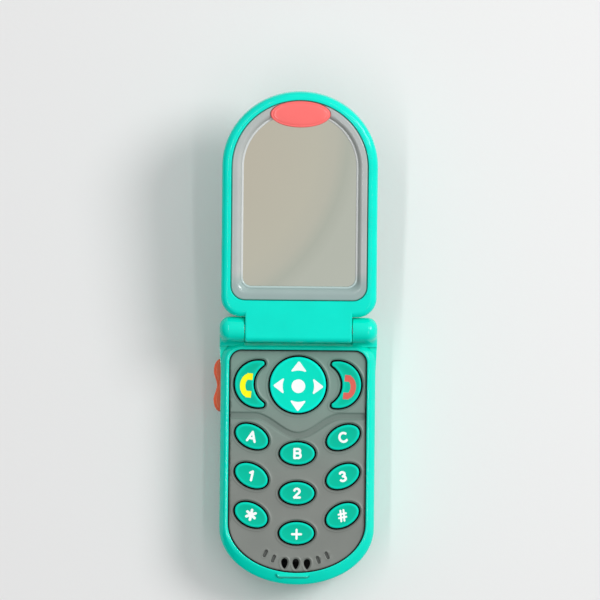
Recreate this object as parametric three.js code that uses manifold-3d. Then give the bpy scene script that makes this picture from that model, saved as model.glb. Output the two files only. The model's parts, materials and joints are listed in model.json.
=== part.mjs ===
// Toy flip phone for a baby: a clamshell with a mirror in the lid, twelve pressing keys,
// a two-lobed rocker button on the left edge and a battery bay in the back.
//
// Millimetres. The phone lies open on its back. +X is the width, +Y runs from the keys to
// the lid, +Z points up out of the keypad. The origin is on the underside, straight below
// the middle of the hinge axis.

import * as THREE from 'three';
import { mergeVertices } from 'three/addons/utils/BufferGeometryUtils.js';
import Module from 'manifold-3d';

const wasm = await Module();
wasm.setup();

// ---------------------------------------------------------------- driving dimensions

const GAP = 0.3; // between pieces that sit against each other
const RUNNING = 0.1; // radial clearance of a pivot
const WALL = 2.0;

const BASE_HALF = 27.1; // half the width of the base
const BLOCK_HALF = 27.6; // the hinge block is a little wider
const BASE_END = -89.4;
const BASE_ARC = 20; // length of the rounded end
const BASE_ROUND = [3.3, 6]; // edge of the underside: across it and up the side
const HINGE_END = 4.4;
const HINGE_CORNER = 3.6;
const BLOCK_SHOULDER = [-5.5, -9]; // where the block narrows to the base
const FRONT_Z = 22.2; // top of the rim round the keypad
const SPLIT_Z = 11.2; // joint between the two base shells
const FLOOR = 1.8;

const BARREL_R = 4.3;
const BARREL_HALF = 18.7;
const KNUCKLE_CORNER = 2.2; // front corner of the knuckle, outside the barrel's round
const DECK = { z: 20, end: -4.7 }; // the lower deck that the knuckle turns over
const EAR_R = 4.4;
const EAR_IN = 18.9;
const EAR_ROUND = 2.6;
const AXIS_Z = FRONT_Z + GAP + BARREL_R;
const PIN_R = 1.5;
const PIN_IN = 12.9;
const PIN_OUT = 25.9;
const OPEN_TILT = 6; // degrees that the open lid stands above flat

const FACE_HALF = 23.8; // keypad faceplate
const FACE_TOP = -7.5;
const FACE_END = -84.9;
const FACE_ARC = 17;
const FACE_CORNER = 4;
const FACE_Z = FRONT_Z - 1.2;
const FACE_THICK = 1.6;
const LEDGE = 0.9; // width of the ledge that carries the faceplate
const LEDGE_Z = FACE_Z - FACE_THICK - GAP;

const KEY_TOP = FACE_Z + 0.9;
const KEY_FLANGE = 0.8;
const KEY_FLANGE_TOP = FACE_Z - FACE_THICK - GAP;
const KEY_BOTTOM = KEY_FLANGE_TOP - KEY_FLANGE;
const KEY_TRAVEL = 1.0;
const KEY_GAP = 0.4; // between a key and its hole
const OVAL = [6.2, 4.0];
const OVAL_TILT = 27;
const SIDE_X = 16;
const SIDE_ROWS = [-37.6, -51.3, -65.0];
const MID_ROWS = [-43.4, -57.3, -71.3];
const NAV_Y = -19.4;
const NAV_R = 9.9;
const CRESCENT = { outerX: 13.9, innerX: 7.7, y: -19.2, outerR: 8.27, innerR: 7.78, tipR: 0.97 };

const MEMBRANE_TOP = KEY_BOTTOM - KEY_TRAVEL - GAP; // crown of the pads under the keys
const MEMBRANE_PAD = 0.5;
const MEMBRANE_THICK = 0.8;
const BOARD_TOP = MEMBRANE_TOP - MEMBRANE_PAD - MEMBRANE_THICK - GAP;
const BOARD_THICK = 1.2;

const CELL_R = 5.25; // an AAA cell
const CELL_LENGTH = 43.6;
const CELL_NUB = [1.9, 0.9];
const CELL_X = 5.5;
const CELL_Z = FLOOR + CELL_R;
const BAY_HALF = 11.2;
const BAY = [-62.8, -12.8];
const BAY_WALL = 1.4;
const BAY_TOP = FLOOR + 2 * CELL_R + GAP;
const COVER_HALF = 14;
const COVER = [-65.6, -6.6];
const COVER_CORNER = 3;
const COVER_THICK = FLOOR - GAP;
const COVER_SCREW_Y = -9.7;

const SCREW_SPOTS = [[-21.5, -2.6], [21.5, -2.6], [-17.5, -77], [17.5, -77]];
const SCREW_HEAD = [2.5, 1.4];
const SCREW_R = 1.3;
const SCREW_SEAT = 6;

const SPEAKER = { y: -77.2, r: 9, z: 2.1, height: 4.6 };

const ROCKER = { x: -24.6, y: -19.8, lobeX: -25.2, lobeY: 4.9, lobeR: 4.4, waistX: -28.4,
  backX: -23.4, z: [7.9, 14.9], pivotR: 1.1, pivotZ: [6, 16.6] };

const SWITCH = { x: 19.8, y: -22.3, knob: [3, 4.4], travel: 3, flange: [4.8, 9] };

const LID_HALF = 27.2;
const LID_LOW = 4.7; // hinge end of the lid, measured from the axis along the lid
const LID_CORNER = 6.8;
const ARCH_Y = 57.3; // where the lid's arched end starts
const LID_ARCH = 26.3;
const LID_INNER = BARREL_R; // the lid's inner face, measured from the axis
const LID_SPLIT = 0.35;
const LID_OUTER = -4.9;
const LID_ROUND = 3;
const SHIELD_OUT = -5.7;

const BEZEL = { half: 23.7, low: 10.7, corner: 4.9, arch: 23.3 };
const BEZEL_TOP = LID_INNER - 0.4;
const BEZEL_LOW = 1.6;
const BEZEL_LEDGE = 2.1; // width of the ledge that carries the bezel
const GLASS = { half: 19.9, low: 15.2, corner: 3.2, arch: 19.2 };
const GLASS_TOP = 1.9;
const GLASS_THICK = 1.2;
const GLASS_LIP = 1.0; // how far the mirror runs under the bezel

const INNER_BADGE = { y: 75.6, rx: 10.5, ry: 4.65, low: 3.2, top: 4.45 };
const OUTER_BADGE = { y: 26, rx: 17.2, ry: 5.5, low: -4.7, top: -6.5 };
const PANEL = { top: 11.2, wide: 18.5, wideY: 27, tip: 71.2, low: -4.7, face: -5.6 };
const SHIELD_BORDER = 2.6;

// ---------------------------------------------------------------------- materials

function plastic(color, roughness = 0.35) {
  return new THREE.MeshStandardMaterial({ color, roughness, metalness: 0 });
}

function metal(color, roughness = 0.35) {
  return new THREE.MeshStandardMaterial({ color, roughness, metalness: 1 });
}

const LID_TEAL = () => plastic(0x01e0c6);
const BASE_TEAL = () => plastic(0x00bc99);
const KEY_TEAL = () => plastic(0x00c29f, 0.4);
const GREY = () => plastic(0x81847f, 0.5);
const SILVER = () => plastic(0xb4bab7, 0.3);
const RED = () => plastic(0xe8453c, 0.35);
const CORAL = () => plastic(0xff7470, 0.3);
const STEEL = () => metal(0xb9bcbe);

// ------------------------------------------------------------- points and outlines

const radians = THREE.MathUtils.degToRad;

// Points of an elliptical arc, both ends included.
function arc(cx, cy, rx, ry, from, to, steps) {
  const points = [];
  for (let i = 0; i <= steps; i += 1) {
    const angle = radians(from + ((to - from) * i) / steps);
    points.push(new THREE.Vector2(cx + rx * Math.cos(angle), cy + ry * Math.sin(angle)));
  }
  return points;
}

function point(x, y) {
  return new THREE.Vector2(x, y);
}

function mirrored(points) {
  return points.map((p) => point(-p.x, p.y)).reverse();
}

// A closed shape that is symmetric about the Y axis, from the points of its right half.
function symmetric(rightHalf) {
  return new THREE.Shape([...rightHalf, ...mirrored(rightHalf)]);
}

function oval(rx, ry, steps = 20, cx = 0, cy = 0) {
  return new THREE.Shape(arc(cx, cy, rx, ry, 0, 360 - 360 / steps, steps - 1));
}

function baseOutline(inset = 0) {
  const block = BLOCK_HALF - inset;
  const half = BASE_HALF - inset;
  const corner = HINGE_CORNER - inset;
  return symmetric([
    ...arc(0, BASE_END + BASE_ARC, half, BASE_ARC - inset, -87, 0, 12),
    point(half, BLOCK_SHOULDER[1]),
    point(block, BLOCK_SHOULDER[0]),
    ...arc(block - corner, HINGE_END - inset - corner, corner, corner, 0, 90, 4),
  ]);
}

function faceOutline(inset = 0) {
  const half = FACE_HALF - inset;
  const corner = FACE_CORNER - inset;
  return symmetric([
    ...arc(0, FACE_END + FACE_ARC, half, FACE_ARC - inset, -87, 0, 12),
    ...arc(half - corner, FACE_TOP - inset - corner, corner, corner, 0, 90, 4),
  ]);
}

// An arched window or plate in the lid: square hinge end with round corners, round far end.
function archOutline({ half, low, corner, arch }, inset = 0) {
  const round = Math.max(corner - inset, 0.3);
  const side = half - inset;
  return symmetric([
    ...arc(side - round, low + inset + round, round, round, -90, 0, 4),
    ...arc(0, ARCH_Y, side, arch - inset, 0, 87, 12),
  ]);
}

const LID = { half: LID_HALF, low: LID_LOW, corner: LID_CORNER, arch: LID_ARCH };

// The shield-shaped panel on the outside of the lid: round towards the hinge, pointed at the tip.
function shieldOutline(grow = 0) {
  const wide = PANEL.wide + grow;
  const tipY = PANEL.tip + grow;
  const nearTip = point(4, tipY - 2.2);
  const side = new THREE.CubicBezierCurve(
    point(wide, PANEL.wideY),
    point(wide, PANEL.wideY + 15),
    point(9.5 + grow, tipY - 10),
    nearTip,
  );
  const tip = new THREE.QuadraticBezierCurve(nearTip, point(2, tipY), point(0.3, tipY));
  const shoulder = arc(0, PANEL.wideY, wide, PANEL.wideY - PANEL.top + grow, -88, 0, 12);
  return symmetric([...shoulder, ...side.getPoints(10).slice(1), ...tip.getPoints(3).slice(1)]);
}

// A crescent key's outline: outer arc, concave inner arc and round tips, grown by an offset.
function crescentOutline(grow = 0) {
  const { outerX, innerX, y } = CRESCENT;
  const outer = CRESCENT.outerR + grow;
  const inner = CRESCENT.innerR - grow;
  const tip = CRESCENT.tipR + grow;
  const apart = outerX - innerX;
  const tipX = ((outer - tip) ** 2 - (inner + tip) ** 2 + apart ** 2) / (2 * apart);
  const tipY = Math.sqrt((outer - tip) ** 2 - tipX ** 2);
  const outerAngle = THREE.MathUtils.radToDeg(Math.atan2(tipY, tipX));
  const innerAngle = THREE.MathUtils.radToDeg(Math.atan2(tipY, tipX - apart));
  return new THREE.Shape([
    ...arc(-outerX, y, outer, outer, outerAngle, 360 - outerAngle, 14),
    ...arc(-outerX + tipX, y - tipY, tip, tip, -outerAngle, 180 - innerAngle, 4).slice(1),
    ...arc(-innerX, y, inner, inner, 360 - innerAngle, innerAngle, 8).slice(1),
    ...arc(-outerX + tipX, y + tipY, tip, tip, innerAngle - 180, outerAngle, 4).slice(1, -1),
  ]);
}

// ------------------------------------------------------------------ solids, joins, cuts

// A three.js geometry as a solid that can be joined and cut.
function solid(geometry) {
  const bare = geometry.clone();
  bare.deleteAttribute('normal');
  bare.deleteAttribute('uv');
  const merged = mergeVertices(bare, 1e-4);
  return new wasm.Manifold(new wasm.Mesh({
    numProp: 3,
    vertProperties: new Float32Array(merged.attributes.position.array),
    triVerts: new Uint32Array(merged.index.array),
  }));
}

function surface(body) {
  const { vertProperties, triVerts } = body.getMesh();
  const geometry = new THREE.BufferGeometry();
  geometry.setAttribute('position', new THREE.BufferAttribute(new Float32Array(vertProperties), 3));
  geometry.setIndex(new THREE.BufferAttribute(new Uint32Array(triVerts), 1));
  geometry.computeVertexNormals();
  return geometry;
}

function joined(...bodies) {
  return bodies.reduce((whole, body) => whole.add(body));
}

function cut(body, ...tools) {
  return tools.reduce((whole, tool) => whole.subtract(tool), body);
}

function box([x0, x1], [y0, y1], [z0, z1]) {
  const geometry = new THREE.BoxGeometry(x1 - x0, y1 - y0, z1 - z0);
  return solid(geometry.translate((x0 + x1) / 2, (y0 + y1) / 2, (z0 + z1) / 2));
}

function prism(shape, low, high) {
  const geometry = new THREE.ExtrudeGeometry(shape, { depth: high - low, bevelEnabled: false });
  return solid(geometry.translate(0, 0, low));
}

// A prism with one edge eased: wide mm across the face, deep mm down the side.
function easedPrism(shape, low, high, { wide, deep = wide, steps = 2, end = 'top' }) {
  const spare = deep + 1;
  const from = end === 'top' ? low - spare : low;
  const to = end === 'top' ? high : high + spare;
  const geometry = new THREE.ExtrudeGeometry(shape, {
    depth: to - from - 2 * deep,
    bevelThickness: deep,
    bevelSize: wide,
    bevelOffset: -wide,
    bevelSegments: steps,
  });
  const reach = 100;
  return solid(geometry.translate(0, 0, from + deep))
    .intersect(box([-reach, reach], [-reach, reach], [low, high]));
}

// A round post or hole along Z.
function post(x, y, radius, low, high, steps = 12) {
  const geometry = new THREE.CylinderGeometry(radius, radius, high - low, steps);
  return solid(geometry.rotateX(Math.PI / 2).translate(x, y, (low + high) / 2));
}

// A round bar or bore along X, centred on the hinge axis of the frame it is made in.
function bar(radius, from, to, z = 0, steps = 24) {
  const geometry = new THREE.CylinderGeometry(radius, radius, to - from, steps);
  return solid(geometry.rotateZ(Math.PI / 2).translate((from + to) / 2, 0, z));
}

// A turned solid along Z, from radius and height pairs.
function turned(profile, steps = 16) {
  const geometry = new THREE.LatheGeometry(profile.map(([r, z]) => point(r, z)), steps);
  return geometry.rotateX(Math.PI / 2);
}

// ---------------------------------------------------------------------------- groups

const phone = new THREE.Group();

// The lid is built flat with its hinge axis as X axis, then tilted to its open stop.
const lid = new THREE.Group();
lid.position.set(0, 0, AXIS_Z);
lid.rotation.x = radians(OPEN_TILT);
phone.add(lid);

function piece(name, shape, material, parent = phone) {
  const geometry = shape instanceof THREE.BufferGeometry ? shape : surface(shape);
  const mesh = new THREE.Mesh(geometry, material);
  mesh.name = name;
  parent.add(mesh);
  return mesh;
}

// ------------------------------------------------------------------------ base shells

function rockerOpening() {
  const reachY = ROCKER.lobeY + ROCKER.lobeR + 0.4;
  return box([-32, -24], [ROCKER.y - reachY, ROCKER.y + reachY], [ROCKER.z[0] - GAP, ROCKER.z[1] + GAP]);
}

// Joins a bracket with a blind hole for one end of the rocker's pivot to a shell.
function withRockerBracket(shell, armZ, holeZ) {
  const arm = box([-26, -22.7], [ROCKER.y - 2.2, ROCKER.y + 2.2], armZ);
  return cut(joined(shell, arm), post(ROCKER.x, ROCKER.y, ROCKER.pivotR + RUNNING, ...holeZ, 24));
}

// A hinge ear on the right (side 1) or left (side -1): a round end on a column.
function ear(side) {
  const length = BLOCK_HALF - EAR_IN;
  const rounding = arc(EAR_R - EAR_ROUND, length - EAR_ROUND, EAR_ROUND, EAR_ROUND, 0, 90, 4);
  const profile = [[0, 0], [EAR_R, 0], ...rounding.map((p) => [p.x, p.y]), [0, length]];
  const round = turned(profile, 24).rotateY(side * Math.PI / 2).translate(side * EAR_IN, 0, AXIS_Z);
  const reach = side > 0 ? [EAR_IN, 30] : [-30, -EAR_IN];
  const column = prism(baseOutline(), SPLIT_Z + 4, AXIS_Z).intersect(box(reach, [-EAR_R, 5], [0, 40]));
  return joined(solid(round), column);
}

function earBore(side) {
  const ends = [side * (EAR_IN - 1), side * (PIN_OUT + GAP)].sort((a, b) => a - b);
  return bar(PIN_R + GAP, ...ends, AXIS_Z);
}

function baseFrontShell() {
  const low = SPLIT_Z + GAP / 2;
  const cavityTop = LEDGE_Z - LEDGE;
  let shell = easedPrism(baseOutline(), low, FRONT_Z, { wide: 1.6 });
  shell = cut(shell, prism(baseOutline(WALL), 0, cavityTop));
  shell = joined(shell, ear(1), ear(-1));
  shell = cut(shell, prism(faceOutline(-GAP), LEDGE_Z, 40), prism(faceOutline(LEDGE), 0, 40));
  shell = cut(shell, box([-EAR_IN, EAR_IN], [DECK.end, HINGE_END + 1], [DECK.z, 40]));
  shell = cut(shell, rockerOpening());
  for (const [x, y] of SCREW_SPOTS) {
    shell = joined(shell, post(x, y, 3.2, low + GAP, cavityTop + 0.4));
    shell = cut(shell, post(x, y, SCREW_R + GAP, 0, cavityTop - 1));
  }
  const pivotTop = ROCKER.pivotZ[1];
  shell = withRockerBracket(shell, [ROCKER.z[1] + 0.5, pivotTop + 0.5], [0, pivotTop + GAP]);
  return cut(shell, earBore(1), earBore(-1));
}

function coverOutline(grow = 0) {
  const half = COVER_HALF + grow;
  const corner = COVER_CORNER + grow;
  return symmetric([
    ...arc(half - corner, COVER[0] - grow + corner, corner, corner, -90, 0, 4),
    ...arc(half - corner, COVER[1] + grow - corner, corner, corner, 0, 90, 4),
  ]);
}

// The open box that holds the two cells, with the ledge that the cover lies on.
function batteryBay() {
  const outer = BAY_HALF + BAY_WALL;
  const ledge = coverOutline(1.6);
  const bay = joined(
    prism(ledge, 1, FLOOR + 1.6),
    box([-outer, outer], [BAY[0] - BAY_WALL, -7.4], [1, BAY_TOP + 1.2]),
  );
  return cut(
    bay,
    box([-BAY_HALF, BAY_HALF], BAY, [-1, BAY_TOP]),
    post(0, COVER_SCREW_Y, SCREW_R + GAP, -1, 8),
  );
}

function baseBackShell() {
  const high = SPLIT_Z - GAP / 2;
  const { y, r } = SPEAKER;
  let shell = easedPrism(baseOutline(), 0, high, {
    wide: BASE_ROUND[0], deep: BASE_ROUND[1], end: 'bottom',
  });
  shell = cut(shell, prism(baseOutline(WALL), FLOOR, 40), box([-BAY_HALF, BAY_HALF], BAY, [-1, 5]));
  shell = joined(shell, batteryBay());
  shell = cut(shell, prism(coverOutline(GAP), -1, FLOOR), post(0, COVER_SCREW_Y, SCREW_R + GAP, -1, 8));
  const ring = cut(post(0, y, r + 1.4, 1, 4.6, 32), post(0, y, r + GAP, 0, 5, 32));
  shell = joined(shell, ring);
  for (const [x, postY] of SCREW_SPOTS) {
    shell = joined(shell, post(x, postY, 4, 1, high));
    shell = cut(shell, post(x, postY, SCREW_HEAD[0] + 0.4, -1, SCREW_SEAT));
    shell = cut(shell, post(x, postY, SCREW_R + 0.4, 0, 20));
  }
  const slotHalf = SWITCH.knob[0] / 2 + GAP;
  const slotY = SWITCH.knob[1] / 2 + GAP;
  const slot = box(
    [SWITCH.x - slotHalf, SWITCH.x + slotHalf],
    [SWITCH.y - slotY, SWITCH.y + slotY + SWITCH.travel],
    [-1, FLOOR + 1],
  );
  shell = cut(shell, slot, rockerOpening());
  const pivotLow = ROCKER.pivotZ[0];
  return withRockerBracket(shell, [pivotLow - 0.8, ROCKER.z[0] - 0.5], [pivotLow - GAP, 20]);
}

piece('base_front_shell', baseFrontShell(), BASE_TEAL());
piece('base_back_shell', baseBackShell(), BASE_TEAL());

// ---------------------------------------------------------------------------- keypad

const KEY_COLUMNS = [
  { names: ['key_a', 'key_1', 'key_star'], x: -SIDE_X, rows: SIDE_ROWS, tilt: -OVAL_TILT },
  { names: ['key_b', 'key_2', 'key_plus'], x: 0, rows: MID_ROWS, tilt: 0 },
  { names: ['key_c', 'key_3', 'key_hash'], x: SIDE_X, rows: SIDE_ROWS, tilt: OVAL_TILT },
];
const OVAL_KEYS = KEY_COLUMNS.flatMap(({ names, x, rows, tilt }) => (
  names.map((name, i) => ({ name, x, y: rows[i], tilt }))
));

function tiltedOval({ x, y, tilt }, grow = 0) {
  const turn = point(0, 0);
  const points = oval(OVAL[0] + grow, OVAL[1] + grow).getPoints();
  return new THREE.Shape(points.map((p) => p.clone().rotateAround(turn, radians(tilt)).add(point(x, y))));
}

// A key cap through the faceplate with a flange below it that keeps it in.
function key(capShape, flangeShape) {
  const cap = easedPrism(capShape, KEY_BOTTOM, KEY_TOP, { wide: 0.8, deep: 0.6 });
  return joined(cap, prism(flangeShape, KEY_BOTTOM, KEY_FLANGE_TOP));
}

function crescentKey() {
  const outerLimit = FACE_HALF - LEDGE - GAP;
  return key(crescentOutline(), crescentOutline(0.8)).intersect(box([-outerLimit, 0], [-40, 0], [0, 40]));
}

function flippedX(body) {
  const geometry = surface(body);
  geometry.scale(-1, 1, 1);
  const index = geometry.index.array;
  for (let i = 0; i < index.length; i += 3) {
    [index[i], index[i + 1]] = [index[i + 1], index[i]];
  }
  geometry.computeVertexNormals();
  return geometry;
}

function faceplate() {
  const low = FACE_Z - FACE_THICK;
  let plate = prism(faceOutline(), low, FACE_Z);
  for (const spot of OVAL_KEYS) {
    plate = cut(plate, prism(tiltedOval(spot, KEY_GAP), 0, 40));
  }
  const crescent = prism(crescentOutline(KEY_GAP), 0, 40);
  plate = cut(plate, crescent, solid(flippedX(crescent)));
  plate = cut(plate, post(0, NAV_Y, NAV_R + 0.5, 0, 40, 32));
  for (const x of [-4, 0, 4]) {
    plate = cut(plate, prism(oval(1.05, 1.85, 10, x, -81.9), 0, 40));
  }
  return plate;
}

function navPad() {
  const cap = easedPrism(oval(NAV_R, NAV_R, 32, 0, NAV_Y), KEY_BOTTOM, KEY_TOP, { wide: 0.8, deep: 0.6 });
  const flange = post(0, NAV_Y, NAV_R + 1, KEY_BOTTOM, KEY_FLANGE_TOP, 32);
  return joined(cap, flange.intersect(box([-20, 20], [-40, FACE_TOP - LEDGE - GAP], [0, 40])));
}

piece('keypad_faceplate', faceplate(), GREY());
for (const spot of OVAL_KEYS) {
  piece(spot.name, key(tiltedOval(spot), tiltedOval(spot, 0.8)), KEY_TEAL());
}
piece('call_key', crescentKey(), KEY_TEAL());
piece('end_key', flippedX(crescentKey()), KEY_TEAL());
piece('nav_pad', navPad(), plastic(0x01e4c9));

// ------------------------------------------------------------------------ electronics

// The circuit board's outline: a rectangle with a tongue under the lowest key.
function boardOutline(inset = 0) {
  const half = 21.8 - inset;
  const tongue = 8.5 - inset;
  return symmetric([
    point(tongue, -75 + inset),
    point(tongue, -71 + inset),
    point(half, -71 + inset),
    point(half, -9.5 - inset),
  ]);
}

function membrane() {
  const sheetTop = MEMBRANE_TOP - MEMBRANE_PAD;
  let sheet = prism(boardOutline(0.8), sheetTop - MEMBRANE_THICK, sheetTop);
  const pads = [...OVAL_KEYS, { x: 0, y: NAV_Y }, { x: -18.3, y: CRESCENT.y }, { x: 18.3, y: CRESCENT.y }];
  for (const { x, y } of pads) {
    sheet = joined(sheet, post(x, y, 2, sheetTop - 0.4, MEMBRANE_TOP, 10));
  }
  return sheet;
}

piece('keypad_membrane', membrane(), plastic(0xd8d8d2, 0.7));
piece('circuit_board', prism(boardOutline(), BOARD_TOP - BOARD_THICK, BOARD_TOP), plastic(0x2f6b3c, 0.5));

function speaker() {
  const { r, z, height } = SPEAKER;
  return turned([
    [0, z], [r * 0.45, z], [r * 0.45, z + 2.2], [r - 1.6, z + 3.4], [r, z + 3.4],
    [r, z + height], [r - 1.2, z + height], [r * 0.5, z + 3.7], [0, z + 4.1],
  ], 20).translate(0, SPEAKER.y, 0);
}

piece('speaker', speaker(), plastic(0x2a2a2c, 0.6));

// Two push switches behind the rocker's lobes.
[-1, 1].forEach((end) => {
  const y = ROCKER.y + end * 6;
  const name = end < 0 ? 'side_switch_lower' : 'side_switch_upper';
  const low = BOARD_TOP - BOARD_THICK - GAP - 4;
  piece(name, box([-22.3, -19.3], [y - 1.75, y + 1.75], [low, low + 4]), plastic(0x3a3a3e, 0.5));
});

// --------------------------------------------------------------------------- batteries

function cell() {
  const [nubR, nubLength] = CELL_NUB;
  return turned([
    [0, 0], [CELL_R - 0.5, 0], [CELL_R, 0.5], [CELL_R, CELL_LENGTH - 0.6], [CELL_R - 0.6, CELL_LENGTH],
    [nubR, CELL_LENGTH], [nubR, CELL_LENGTH + nubLength], [0, CELL_LENGTH + nubLength],
  ], 20);
}

// A conical contact spring, wide at the plate and narrow at the cell.
class ConeHelix extends THREE.Curve {
  getPoint(t) {
    const turns = 2.2;
    const radius = 3.6 - 1.6 * t;
    const angle = 2 * Math.PI * turns * t;
    return new THREE.Vector3(radius * Math.cos(angle), radius * Math.sin(angle), 2.5 * t);
  }
}

function contactSpring() {
  const wire = oval(0.28, 0.28, 5);
  return new THREE.ExtrudeGeometry(wire, { steps: 26, extrudePath: new ConeHelix(), bevelEnabled: false });
}

// Both cells lie along Y, one each way. The space between the contact plates is filled by a
// cell and its spring.
const PLATE = 0.5;
const PLATE_INNER = [BAY[0] + GAP + PLATE, BAY[1] - GAP - PLATE];

[-1, 1].forEach((side) => {
  const suffix = side < 0 ? 'left' : 'right';
  const towards = side; // +1 points the cell's nub to +Y
  const nubEnd = towards > 0 ? PLATE_INNER[1] - GAP : PLATE_INNER[0] + GAP;
  const springEnd = towards > 0 ? PLATE_INNER[0] + GAP + 0.3 : PLATE_INNER[1] - GAP - 0.3;
  const turn = -towards * Math.PI / 2;
  const cellStart = nubEnd - towards * (CELL_LENGTH + CELL_NUB[1]);
  const battery = piece(`battery_${suffix}`, cell(), metal(0x6d7076, 0.4));
  battery.rotation.x = turn;
  battery.position.set(side * CELL_X, cellStart, CELL_Z);
  const spring = piece(`battery_spring_${suffix}`, contactSpring(), STEEL());
  spring.rotation.x = turn;
  spring.position.set(side * CELL_X, springEnd, CELL_Z);
});

function contactPlate([x0, x1], y) {
  return box([x0, x1], [y, y + PLATE], [FLOOR + GAP + 0.4, BAY_TOP - 0.6]);
}

piece('contact_bridge', contactPlate([-10.2, 10.2], BAY[0] + GAP), STEEL());
piece('contact_negative', contactPlate([-10.2, -1], BAY[1] - GAP - PLATE), STEEL());
piece('contact_positive', contactPlate([1, 10.2], BAY[1] - GAP - PLATE), STEEL());

// ------------------------------------------------------------------- cover and screws

function screw(headLow, length) {
  const [headR, headHeight] = SCREW_HEAD;
  const neck = headLow + headHeight;
  return turned([
    [0, headLow], [headR - 0.5, headLow], [headR, headLow + 0.5], [headR, neck],
    [SCREW_R, neck], [SCREW_R, neck + length - 1], [0, neck + length],
  ], 12);
}

function batteryCover() {
  const dish = post(0, COVER_SCREW_Y, SCREW_HEAD[0] + GAP, -1, 1.0, 16);
  const hole = post(0, COVER_SCREW_Y, SCREW_R + GAP, 0, 5);
  return cut(prism(coverOutline(), 0, COVER_THICK), dish, hole);
}

piece('battery_cover', batteryCover(), BASE_TEAL());
SCREW_SPOTS.forEach(([x, y], i) => {
  const caseScrew = piece(`case_screw_${i + 1}`, screw(0, 9.5), STEEL());
  caseScrew.position.set(x, y, SCREW_SEAT - SCREW_HEAD[1] - GAP);
});

function coverScrew() {
  const [headR] = SCREW_HEAD;
  return turned([
    [0, 0.1], [headR - 0.4, 0.1], [headR, 0.4], [headR, 0.7], [SCREW_R, 0.7], [SCREW_R, 6.4], [0, 7.2],
  ], 12);
}

piece('battery_cover_screw', coverScrew(), STEEL()).position.set(0, COVER_SCREW_Y, 0);

// ----------------------------------------------------------------- rocker and switch

function rocker() {
  const { x, y, lobeX, lobeY, lobeR, waistX, backX, z, pivotR, pivotZ } = ROCKER;
  const ease = { wide: 0.9 };
  const middle = (z[0] + z[1]) / 2;
  const lobe = (side) => {
    const disc = oval(lobeR, lobeR, 24, lobeX, y + side * lobeY);
    const upper = easedPrism(disc, middle, z[1], ease);
    return joined(upper, easedPrism(disc, z[0], middle, { ...ease, end: 'bottom' }));
  };
  const waist = box([waistX, backX], [y - lobeY - 2, y + lobeY + 2], [z[0] + 0.6, z[1] - 0.6]);
  const trim = box([-40, backX], [-60, 0], [0, 40]);
  return joined(joined(lobe(1), lobe(-1), waist).intersect(trim), post(x, y, pivotR, ...pivotZ, 24));
}

piece('side_button', rocker(), RED());

function switchKnob() {
  const { x, y, knob, flange, travel } = SWITCH;
  const flangeY = y + travel / 2;
  return joined(
    box([x - knob[0] / 2, x + knob[0] / 2], [y - knob[1] / 2, y + knob[1] / 2], [0.4, FLOOR + 0.6]),
    box([x - flange[0] / 2, x + flange[0] / 2], [flangeY - flange[1] / 2 - travel / 2, y + flange[1] / 2],
      [FLOOR + GAP, FLOOR + 1.2]),
  );
}

piece('power_switch_knob', switchKnob(), plastic(0x2c2c2e, 0.5));
const switchBody = box([SWITCH.x - 2.6, SWITCH.x + 2.6], [SWITCH.y - 4, SWITCH.y + 6.5], [FLOOR + 1.6, 8.5]);
piece('power_switch_body', switchBody, metal(0xa9abad, 0.4));

// ------------------------------------------------------------------------------ hinge

piece('hinge_pin_left', bar(PIN_R, -PIN_OUT, -PIN_IN, AXIS_Z), STEEL());
piece('hinge_pin_right', bar(PIN_R, PIN_IN, PIN_OUT, AXIS_Z), STEEL());

// -------------------------------------------------------------------------------- lid

// The hinge's knuckle and tongue: round underneath, with a tighter corner at the front.
function knuckle() {
  const centre = BARREL_R - KNUCKLE_CORNER;
  const section = new THREE.Shape([
    ...arc(0, 0, BARREL_R, BARREL_R, 180, 270, 8),
    point(LID_LOW - GAP, -BARREL_R),
    point(LID_LOW - GAP, BARREL_R),
    ...arc(-centre, centre, KNUCKLE_CORNER, KNUCKLE_CORNER, 90, 180, 5),
  ]);
  const geometry = new THREE.ExtrudeGeometry(section, { depth: 2 * BARREL_HALF, bevelEnabled: false });
  return solid(geometry.translate(0, 0, -BARREL_HALF).rotateX(Math.PI / 2).rotateZ(Math.PI / 2));
}

// The inner half of the lid, with the knuckle and tongue of the hinge.
function lidInnerFrame() {
  const low = LID_SPLIT + GAP / 2;
  let frame = easedPrism(archOutline(LID), low, LID_INNER, { wide: 1.3 });
  frame = joined(
    frame,
    knuckle(),
    box([-BARREL_HALF, BARREL_HALF], [LID_LOW - GAP - 0.1, LID_LOW + 1.8], [low, LID_INNER]),
  );
  const bore = PIN_IN - GAP;
  return cut(
    frame,
    prism(archOutline(BEZEL, -GAP), BEZEL_LOW - GAP, 20),
    prism(archOutline(BEZEL, BEZEL_LEDGE), 0, 20),
    bar(PIN_R + RUNNING, bore, BARREL_HALF + 1),
    bar(PIN_R + RUNNING, -BARREL_HALF - 1, -bore),
  );
}

// The outer half: a dished shell with the raised shield, a pocket for the panel and ribs
// behind the mirror's pad.
function lidOuterShell() {
  const high = LID_SPLIT - GAP / 2;
  const floor = LID_OUTER + 1.7;
  const pocket = PANEL.low + GAP;
  const ribTop = GLASS_TOP - GLASS_THICK - 1.6;
  let shell = joined(
    easedPrism(archOutline(LID), LID_OUTER, high, { wide: LID_ROUND, steps: 3, end: 'bottom' }),
    easedPrism(shieldOutline(SHIELD_BORDER), SHIELD_OUT, floor - 0.2, { wide: 0.7, end: 'bottom' }),
  );
  shell = cut(shell, prism(archOutline(LID, 1.9), floor, 20), prism(shieldOutline(GAP), -20, pocket));
  for (const y of [26, 44, 62]) {
    shell = joined(shell, box([-13, 13], [y - 0.6, y + 0.6], [floor - 0.3, ribTop]));
  }
  return shell;
}

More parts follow.
